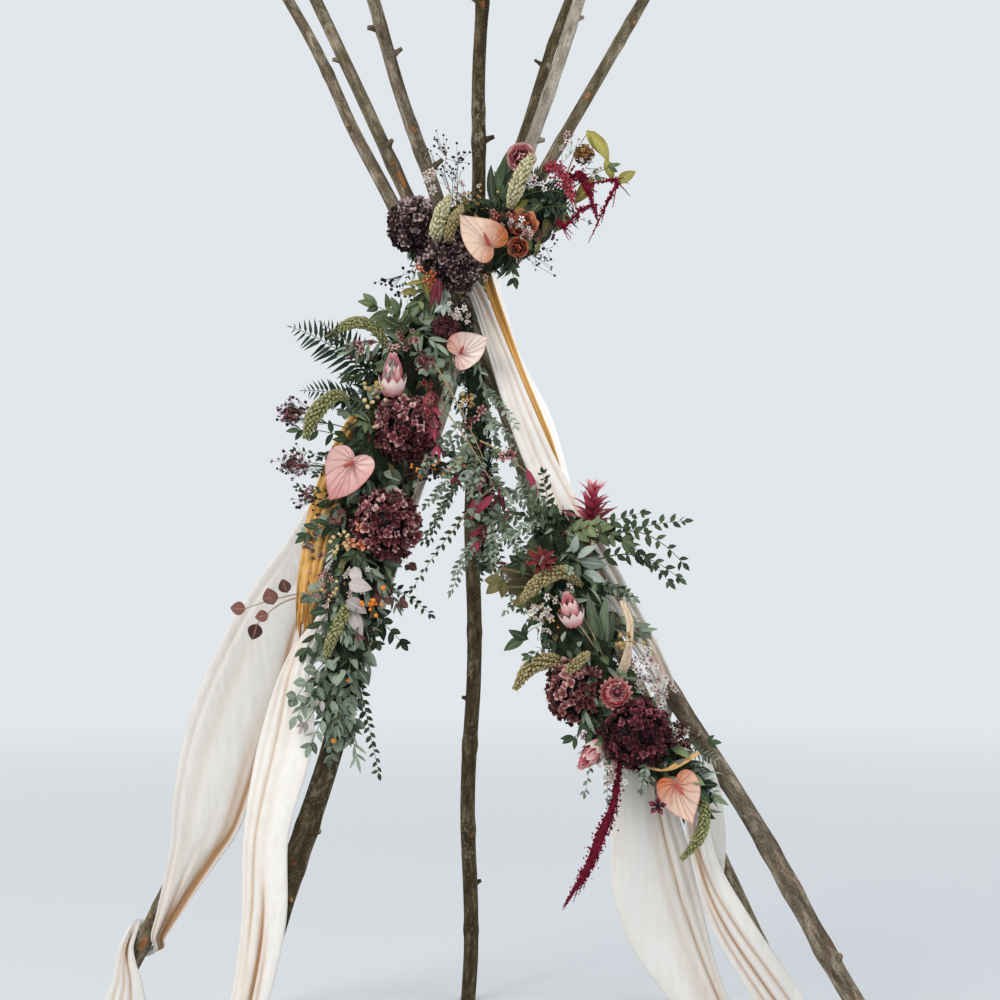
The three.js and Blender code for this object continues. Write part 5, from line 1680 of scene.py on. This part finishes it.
BERRIES = {
    "garland_crown": [
        ((-105, -330, 2830), (-60, -280, 2680), 20, (18, 12, 24), 3.6, "dark"),
        ((-40, -330, 2795), (-50, -280, 2660), 18, (20, 12, 24), 3.6, "dark"),
        ((-75, -330, 2750), (-50, -280, 2640), 18, (24, 12, 20), 3.6, "dark"),
        ((-205, -360, 2420), (-130, -300, 2520), 24, (26, 12, 24), 5, "dark"),
        ((190, -385, 2490), (130, -320, 2540), 14, (26, 12, 14), 3.6, "dark"),
        ((110, -380, 2495), (90, -320, 2540), 8, (14, 12, 10), 4.5, "dark"),
        ((-15, -345, 2670), (-20, -280, 2600), 26, (32, 14, 24), 4.5, "bud"),
        ((225, -360, 2560), (160, -300, 2580), 10, (16, 12, 22), 4.5, "dark"),
    ],
    "garland_left": [
        ((-505, -400, 2060), (-330, -330, 2010), 26, (20, 14, 22), 4.5, "dark"),
        ((-495, -420, 1920), (-320, -350, 1900), 24, (24, 12, 22), 4.5, "dark"),
        ((-455, -440, 1820), (-320, -370, 1800), 18, (18, 12, 24), 4.5, "dark"),
        ((-110, -430, 1900), (-200, -350, 1880), 40, (40, 14, 17), 5, "dark"),
        ((-110, -440, 1905), (-200, -350, 1880), 18, (38, 12, 15), 4.5, "orange"),
        ((-270, -420, 2095), (-250, -330, 2050), 16, (16, 10, 26), 6.5, "gold"),
        ((-345, -470, 1700), (-310, -380, 1700), 14, (26, 10, 16), 6, "gold"),
        ((-235, -525, 1575), (-290, -430, 1560), 1, (1, 1, 1), 7, "orange"),
        ((-255, -535, 1500), (-310, -440, 1520), 1, (1, 1, 1), 7, "orange"),
        ((-325, -565, 1330), (-340, -480, 1380), 1, (1, 1, 1), 7, "orange"),
        ((-360, -580, 1175), (-350, -530, 1220), 1, (1, 1, 1), 7, "orange"),
        ((-262, -525, 1527), (-300, -430, 1530), 12, (12, 6, 7), 6, "orange"),
        ((-370, -510, 1560), (-330, -430, 1540), 10, (16, 8, 22), 5, "gold"),
    ],
    "garland_centre": [((-10, -400, 2090), (-10, -310, 2120), 10, (14, 8, 22), 6, "bud")],
    "garland_right": [
        ((165, -645, 1505), (240, -560, 1500), 16, (24, 12, 22), 4.5, "gold"),
        ((240, -660, 1500), (260, -570, 1480), 7, (18, 10, 24), 4, "orange"),
        ((330, -560, 1720), (300, -510, 1680), 12, (12, 8, 20), 5, "gold"),
        ((400, -690, 1440), (350, -610, 1440), 10, (18, 8, 26), 6, "bud"),
    ],
}

# Blossoms: place, root, count, spread, size, petals and, where it is not dark, the eye

BLOSSOMS = {
    "garland_crown": [
        ((112, -415, 2585), (120, -300, 2590), 8, (16, 8, 10), 9, "white"),
        ((155, -420, 2552), (140, -300, 2560), 9, (18, 8, 12), 8, "white"),
        ((75, -400, 2618), (90, -300, 2600), 12, (18, 8, 9), 11, "coral"),
        ((270, -330, 2845), (230, -260, 2740), 12, (18, 10, 16), 9, "white"),
        ((-35, -365, 2690), (-30, -280, 2600), 12, (22, 10, 18), 8, "white"),
        ((-125, -350, 2720), (-100, -280, 2620), 12, (16, 8, 26), 11, "white", "bud"),
        ((175, -355, 2715), (160, -270, 2650), 8, (14, 8, 12), 10, "white"),
        ((340, -320, 2775), (260, -260, 2720), 6, (20, 8, 18), 8, "white"),
        ((-20, -400, 2420), (-30, -320, 2440), 26, (28, 12, 24), 10, "plum"),
        ((-120, -420, 2430), (-100, -320, 2440), 6, (12, 6, 14), 16, "rust", "gold"),
    ],
    "garland_left": [
        ((-30, -420, 2330), (-90, -300, 2330), 12, (16, 8, 12), 10, "white", "bud"),
        ((-190, -400, 2260), (-180, -300, 2240), 16, (18, 8, 14), 11, "dusk"),
        ((-130, -420, 2200), (-170, -300, 2200), 12, (16, 8, 16), 11, "sedum"),
        ((-320, -400, 2240), (-260, -300, 2200), 10, (18, 8, 12), 12, "rose"),
        ((-400, -500, 1590), (-330, -410, 1590), 16, (20, 10, 34), 11, "dusk", "gold"),
        ((-330, -500, 1600), (-320, -410, 1590), 12, (24, 10, 22), 11, "white", "gold"),
        ((-430, -480, 1700), (-330, -400, 1680), 10, (14, 8, 22), 10, "plum"),
        ((-310, -470, 1700), (-300, -380, 1680), 6, (26, 8, 14), 20, "rust", "gold"),
        ((-120, -440, 2070), (-180, -330, 2050), 10, (12, 8, 40), 10, "coral"),
        ((-505, -405, 2058), (-330, -330, 2010), 90, (15, 12, 17), 6.5, "sedum"),
        ((-495, -425, 1912), (-320, -350, 1900), 80, (19, 12, 17), 6.5, "sedum"),
        ((-455, -440, 1820), (-320, -370, 1800), 26, (16, 10, 18), 6.5, "sedum"),
    ],
    "garland_centre": [
        ((95, -430, 1950), (30, -340, 1930), 8, (16, 8, 14), 15, "dusk"),
        ((20, -410, 2040), (10, -320, 2020), 6, (20, 8, 20), 12, "dusk"),
    ],
    "garland_right": [
        ((440, -700, 1370), (400, -610, 1330), 26, (14, 8, 30), 10, "white"),
        ((485, -705, 1300), (430, -620, 1280), 26, (16, 8, 26), 10, "white"),
        ((530, -715, 1190), (470, -640, 1180), 30, (24, 8, 20), 11, "dusk"),
        ((520, -720, 1200), (470, -640, 1180), 14, (26, 8, 18), 10, "white"),
        ((350, -745, 1110), (350, -650, 1200), 16, (22, 8, 30), 9, "white", "bud"),
        ((180, -660, 1500), (230, -560, 1500), 14, (24, 8, 20), 10, "white", "bud"),
        ((240, -665, 1540), (260, -560, 1530), 10, (20, 8, 16), 10, "white"),
        ((465, -785, 1032), (470, -700, 1120), 2, (3, 1, 3), 24, "burgundy"),
        ((330, -690, 1240), (340, -620, 1240), 16, (26, 8, 22), 12, "burgundy"),
    ],
}

# Sprays at random places: count, kind, leaf length, pairs, reach, stretch of the garland and fall

SPRAYS = {
    "garland_crown": [(8, "dark_vine", 20, 6, 90, (0.1, 0.8), 0.2), (6, "dark", 48, 3, 70, (0.3, 0.8), 0.2)],
    "garland_left": [
        (12, "dark", 58, 4, 115, (0.15, 0.8), 0.5), (6, "long_gum", 46, 6, 66, (0.62, 0.97), 1.6),
        (5, "willow", 56, 6, 62, (0.62, 0.97), 1.6), (7, "gum", 40, 4, 105, (0.1, 0.9), 0.5),
        (9, "dark_vine", 28, 8, 140, (0.2, 0.8), 0.4), (5, "bay", 66, 4, 110, (0.1, 0.5), 0.2),
        (4, "red_gum", 36, 3, 90, (0.5, 0.8), 0.3),
    ],
    "garland_centre": [
        (17, "vine", 28, 10, 165, (0.15, 1.0), 0.9), (4, "gum", 33, 4, 110, (0.3, 1.0), 0.6),
        (4, "crimson", 54, 3, 90, (0.5, 1.0), 0.7), (3, "dark_vine", 26, 11, 190, (0.4, 1.0), 1.2),
    ],
    "garland_right": [
        (7, "dark", 52, 4, 100, (0.1, 0.95), 0.4), (9, "dark_vine", 31, 7, 110, (0.0, 0.8), 0.2),
        (5, "vine", 27, 8, 120, (0.1, 1.0), 0.5), (4, "willow", 84, 4, 110, (0.3, 0.7), 0.4),
        (3, "bay", 52, 4, 90, (0.5, 0.9), 0.2),
    ],
}

# Leaves over the cores: count, kinds, leaf length and stretch

LEAFAGE = {
    "garland_crown": [
        (190, ("dark", "bay", "fern"), 58, (0.1, 0.95)), (110, ("dark_vine", "vine"), 34, (0, 1)),
        (26, ("strap", "olive"), 66, (0.4, 1)), (30, ("brown", "red_gum"), 46, (0.4, 0.95)),
    ],
    "garland_left": [
        (280, ("dark", "bay", "gum"), 52, (0, 0.7)),
        (230, ("long_gum", "dark", "gum", "willow"), 50, (0.45, 1)),
        (240, ("vine", "dark_vine"), 30, (0, 1)), (40, ("crimson", "red_gum", "brown"), 44, (0.05, 0.8)),
    ],
    "garland_centre": [(260, ("vine", "vine", "gum"), 27, (0, 1)), (22, ("crimson",), 40, (0.3, 0.9))],
    "garland_right": [
        (300, ("dark", "bay", "willow"), 54, (0, 1)), (260, ("dark_vine", "vine"), 32, (0, 1)),
        (40, ("crimson", "brown"), 46, (0, 0.9)),
    ],
}
CORE_FILLING = {"garland_crown": 0.72, "garland_left": 0.72, "garland_centre": 0.4, "garland_right": 0.72}
GARLAND_SEED = 60
SMALL_FLOWER_SEEDS = 100


def make_garland(name, seed):
    """A garland's moss and leaves as one piece, and its small flowers and berries as another."""
    green = Heap(seed)
    trail = Trail(GARLANDS[name], GARLAND_STEPS)
    core(green, GARLANDS[name], CORE_FILLING[name])
    for row in LEAFAGE[name]:
        leafage(green, trail, *row)
    for row in SPRIGS[name]:
        sprig(green, *row)
    for row in SPRAYS[name]:
        sprays(green, trail, *row)
    for row in LEAVES[name]:
        lone_leaf(green, *row)
    for start, end in TWIGS[name]:
        green.add(tube(bow(start, end, 14), np.linspace(2.6, 1.2, 15), 5), PALE_TWIG)
    green.build(name + "_leaves", "leaf_green", name)
    small = Heap(seed + SMALL_FLOWER_SEEDS)
    for row in BERRIES[name]:
        berries(small, *row)
    for row in BLOSSOMS[name]:
        blossoms(small, *row)
    small.build(name + "_small_flowers", "bloom_pink")


# Heads, each in the place of its solid. Round ones: centre, radius, floret, count, size, petal and slot.

ROUND_HEADS = {
    "hydrangea_crown_left": ((-165, -340, 2600), 72, FLORET, 260, 16, "plum", "bloom_plum"),
    "hydrangea_crown_centre": ((-65, -350, 2490), 84, FLORET, 330, 15, "plum", "bloom_plum"),
    "hydrangea_left_upper": ((-185, -365, 2020), 86, FLORET, 340, 15, "rose", "bloom_rose"),
    "hydrangea_left_lower": ((-235, -430, 1745), 90, FLORET, 350, 15, "rose", "bloom_rose"),
    "hydrangea_right_upper": ((275, -655, 1310), 78, FLORET, 270, 15, "dusk", "bloom_rose"),
    "hydrangea_right_lower": ((420, -730, 1210), 84, FLORET, 330, 15, "burgundy", "bloom_plum"),
    "sedum_left": ((-80, -325, 2300), 44, STAR, 260, 8, "sedum", "bloom_rose"),
}

# Hearts: centre, length, width, way to the tip, way it faces, colour and warm side

HEARTS = {
    "anthurium_crown": (
        (22, -432, 2545), 160, 120, (-0.72, -0.1, 0.66), (-0.15, -0.95, 0.3), "peach", (-0.5, 1.0),
    ),
    "anthurium_left_upper": (
        (-12, -378, 2240), 130, 108, (0.85, -0.2, 0.42), (0.1, -0.95, 0.25), "pale", (0.4, 0.9),
    ),
    "anthurium_left_lower": (
        (-346, -432, 1885), 174, 134, (-0.45, -0.2, -0.87), (-0.1, -0.95, 0.2), "salmon", (0.3, -0.6),
    ),
    "anthurium_right": (
        (527, -755, 1056), 142, 108, (0.36, -0.1, -0.92), (0.1, -0.97, 0.12), "apricot", (-0.3, 0.9),
    ),
}

# Cups: centre, axis, length, mouth, rows, bracts in the first row, bract width, opening and petal

CUPS = {
    "protea_left": ((-225, -380, 2140), (0.05, -0.4, 0.9), 104, 44, 3, 6, 0.5, 0.12, "pink"),
    "protea_right_upper": ((262, -660, 1500), (-0.25, -0.3, 0.9), 80, 36, 3, 6, 0.5, 0.2, "pink"),
    "protea_right_open": ((366, -752, 1310), (0.05, -0.95, 0.2), 50, 50, 4, 11, 0.4, 0.45, "blush"),
    "protea_right_bud": ((318, -715, 1165), (-0.6, -0.5, -0.55), 80, 34, 3, 6, 0.5, 0.1, "pink"),
}

# Seed heads: colour, then stations as x, y, z and radius. The spare ones take the place of no solid.

TAILS = {
    "crown_left": ("pale", (-75, -350, 2560, 8), (-102, -405, 2560, 21), (-86, -412, 2620, 21),
                   (-64, -392, 2672, 7)),
    "crown_right": ("pale", (104, -330, 2650, 10), (118, -350, 2690, 24), (142, -350, 2750, 25),
                    (168, -335, 2805, 10)),
    "left_arch": ("green", (-230, -300, 2200, 8), (-268, -340, 2295, 16), (-335, -360, 2318, 18),
                  (-410, -360, 2275, 8)),
    "left_lower": ("green", (-325, -470, 1550, 8), (-340, -515, 1505, 18), (-372, -525, 1440, 18),
                   (-392, -520, 1375, 8)),
    "right_arch": ("tawny", (290, -600, 1580, 8), (240, -640, 1615, 19), (175, -655, 1590, 20),
                   (132, -655, 1540, 8)),
    "right_left": ("tawny", (250, -630, 1375, 10), (205, -660, 1388, 22), (152, -675, 1370, 22),
                   (114, -675, 1315, 8)),
    "right_tail": ("green", (575, -690, 1075, 8), (590, -732, 1020, 15), (576, -745, 955, 16),
                   (530, -745, 898, 6)),
    "crown_second": ("tawny", (-50, -360, 2530, 7), (-66, -410, 2550, 16), (-50, -416, 2600, 16),
                     (-30, -395, 2640, 6)),
    "left_droop": ("green", (-350, -370, 2100, 8), (-385, -400, 2105, 20), (-440, -410, 2050, 24),
                   (-462, -410, 1985, 9)),
    "right_over": ("tawny", (250, -690, 1370, 7), (255, -735, 1372, 14), (280, -745, 1395, 14),
                   (300, -735, 1412, 6)),
}
SPARE_TAILS = ("crown_second", "left_droop", "right_over")

# Tassels: stations, as x, y, z and radius, then material, count of beads, size of a bead and strands

TAIL_TASSEL = [
    (385, -690, 1190, 8), (364, -735, 1048, 13), (329, -755, 962, 19), (293, -762, 878, 15),
    (233, -765, 785, 1),
]
CROWN_TASSELS = [
    ([(262, -270, 2735, 8), (300, -310, 2755, 20), (330, -330, 2700, 13), (352, -330, 2620, 4)],
     CRIMSON, 300, 4.2, 8),
    ([(340, -310, 2730, 5), (410, -310, 2735, 9), (385, -310, 2680, 8), (340, -310, 2580, 2)],
     CRIMSON, 190, 4.2, 10),
    ([(240, -310, 2620, 5), (262, -330, 2600, 12), (300, -330, 2640, 10), (335, -330, 2660, 3)],
     CRIMSON, 170, 4.2, 6),
    ([(205, -300, 2775, 9), (240, -325, 2765, 22), (270, -330, 2715, 19), (282, -330, 2670, 5)],
     ROSY, 430, 4.2, 8),
]
ROUND_SEED = 200
ROSE_SEED = 220
HEART_SEED = 230
CUP_SEED = 240
LILY_SEED = 250
TAIL_SEED = 260
TASSEL_SEED = 280
BACK_SEED = 282


def make_head(seed, name, ending, slot, *growths, spare=False):
    """One piece from its growths, each a function with the values that it takes after the heap."""
    heap = Heap(seed)
    for grow, *values in growths:
        grow(heap, *values)
    heap.build(name + ending, slot, *(() if spare else (name,)))


def make_heads():
    for index, (name, (at, radius, floret, count, size, petal, slot)) in enumerate(ROUND_HEADS.items()):
        # The dark berry ball inside each round head is painted shade between its florets
        florets = (flower_ball, at, radius, floret, count, size, PETAL[petal], BERRY["dark"])
        make_head(ROUND_SEED + index, name, "_florets", slot, florets)
    upper = (rose, (142, -352, 2598), (0.15, -0.95, 0.2), 54, "rust")
    lower = (rose, (128, -362, 2532), (-0.2, -0.9, -0.35), 40, "rust")
    make_head(ROSE_SEED, "rose_crown", "_petals", "bloom_rust", upper, lower)
    for index, (name, row) in enumerate(HEARTS.items()):
        make_head(HEART_SEED + index, name, "_bloom", "bloom_peach", (spathe, *row))
    for index, (name, row) in enumerate(CUPS.items()):
        make_head(CUP_SEED + index, name, "_bracts", "bloom_pink", (protea, *row))
    torch = (ginger, (322, -500, 1765), (0.05, -0.25, 0.95), 150)
    star = (spider, (182, -655, 1640), (0.05, -0.75, 0.6), 47, "coral")
    make_head(LILY_SEED, "lily_right", "_bracts", "bloom_pink", torch, star)
    for index, (place, (seed, *stations)) in enumerate(TAILS.items()):
        grains = (seed_head, stations, seed)
        spare = place in SPARE_TAILS
        make_head(TAIL_SEED + index, "seed_head_" + place, "_grains", "seed_green", grains, spare=spare)
    beads = (tassel, TAIL_TASSEL, CRIMSON, 1100, 3.2, 40, 0.62)
    make_head(TASSEL_SEED, "amaranth_tail_right", "_beads", "tassel_crimson", beads)
    beads = [(tassel, *row) for row in CROWN_TASSELS]
    make_head(TASSEL_SEED + 1, "amaranth_crown", "_beads", "tassel_crimson", *beads)
    bloom = (rose, (136, -296, 2808), (0.15, -0.8, -0.3), 56, "pink")
    pod = (flower_ball, (318, -300, 2815), 26, FLORET, 60, 9, DRIED, DRIED)
    leaves = [
        (lone_leaf, "crimson", (-98, -430, 2430), (-112, -440, 2345)),
        (lone_leaf, "crimson", (-92, -430, 2430), (-92, -440, 2350)),
    ]
    make_head(BACK_SEED, "crown_back", "_blooms", "bloom_peach", bloom, pod, *leaves, spare=True)


# Camera, floor and light

BACKDROP = "e9eef2"
BACKDROP_LIGHT = 0.93
FLOOR_REACH = 400.0
FLOOR_HEIGHT = -0.001
FADE_REACH = 12.0
LIGHT_AIM = np.array([0, 0, 1.6])

# Lights: place, size across, power and colour

LIGHTS = {
    "key": ((-4.0, -5.0, 6.0), 3.4, 300, (1.0, 0.97, 0.94)),
    "fill": ((5.0, -3.0, 3.5), 4.0, 90, (0.94, 0.97, 1.0)),
}


def place_object(name, data):
    """A new object in the scene."""
    made = bpy.data.objects.new(name, data)
    bpy.context.scene.collection.objects.link(made)
    return made


def make_camera():
    data = bpy.data.cameras.new("camera")
    data.lens = CAMERA["lens"]
    data.sensor_width = CAMERA["sensor"]
    camera = place_object("camera", data)
    camera.location = np.array([CAMERA["x"], CAMERA["y"], CAMERA["eye"]]) * MM + SHIFT
    camera.rotation_euler = (math.radians(90 + CAMERA["pitch"]), 0, 0)
    bpy.context.scene.camera = camera


def make_floor():
    """A pale floor that fades into the backdrop with distance."""
    mesh = bpy.data.meshes.new("floor")
    corners = [(x * FLOOR_REACH, y * FLOOR_REACH, 0) for x, y in ((-1, -1), (1, -1), (1, 1), (-1, 1))]
    mesh.from_pydata(corners, [], [(0, 1, 2, 3)])
    floor = place_object("floor", mesh)
    floor.location.z = FLOOR_HEIGHT
    paint = Paint("floor_paint", 0.9)
    colour = paint.ramp(paint.speckle(240, 2), (0.3, "d7dadd"), (0.7, "dddfe1"))
    paint.plug(paint.shader.inputs["Base Color"], colour)
    place = paint.take("Position", "NewGeometry")
    away = paint.take("Value", "VectorMath", {"operation": "LENGTH"}, Vector=place)
    far = paint.rising(away.maths("DIVIDE", FADE_REACH), 0.18, 1.0)
    blend = paint.node("MixShader", Fac=far)
    paint.plug(blend.inputs[1], Value(paint, paint.shader.outputs[0]))
    paint.plug(blend.inputs[2], paint.take(0, "Emission", Color=BACKDROP, Strength=BACKDROP_LIGHT))
    output = next(item for item in paint.tree.nodes if item.type == "OUTPUT_MATERIAL")
    paint.plug(output.inputs["Surface"], Value(paint, blend.outputs[0]))
    mesh.materials.append(paint.material)


def make_light():
    world = bpy.data.worlds.new("studio")
    world.use_nodes = True
    background = world.node_tree.nodes["Background"]
    background.inputs["Color"].default_value = tone(BACKDROP)
    background.inputs["Strength"].default_value = BACKDROP_LIGHT
    bpy.context.scene.world = world
    bpy.context.scene.view_settings.view_transform = "Standard"
    for name, (place, size, power, colour) in LIGHTS.items():
        data = bpy.data.lights.new(name, "AREA")
        data.shape = "DISK"
        data.size = size
        data.energy = power
        data.color = colour
        light = place_object(name, data)
        light.location = place
        way = unit(LIGHT_AIM - np.array(place))
        light.rotation_euler = (math.acos(-way[2]), 0, math.atan2(way[1], way[0]) - math.pi / 2)


make_camera()
make_floor()
make_light()
for index, pole in enumerate(POLES):
    make_pole(pole, index + 1)
make_lashing()
for index, spec in enumerate(DRAPES):
    make_drape({**PLAIN_SWAG, **spec}, SWAG_SEED + index)
for index, name in enumerate(GARLANDS):
    make_garland(name, GARLAND_SEED + index)
make_heads()
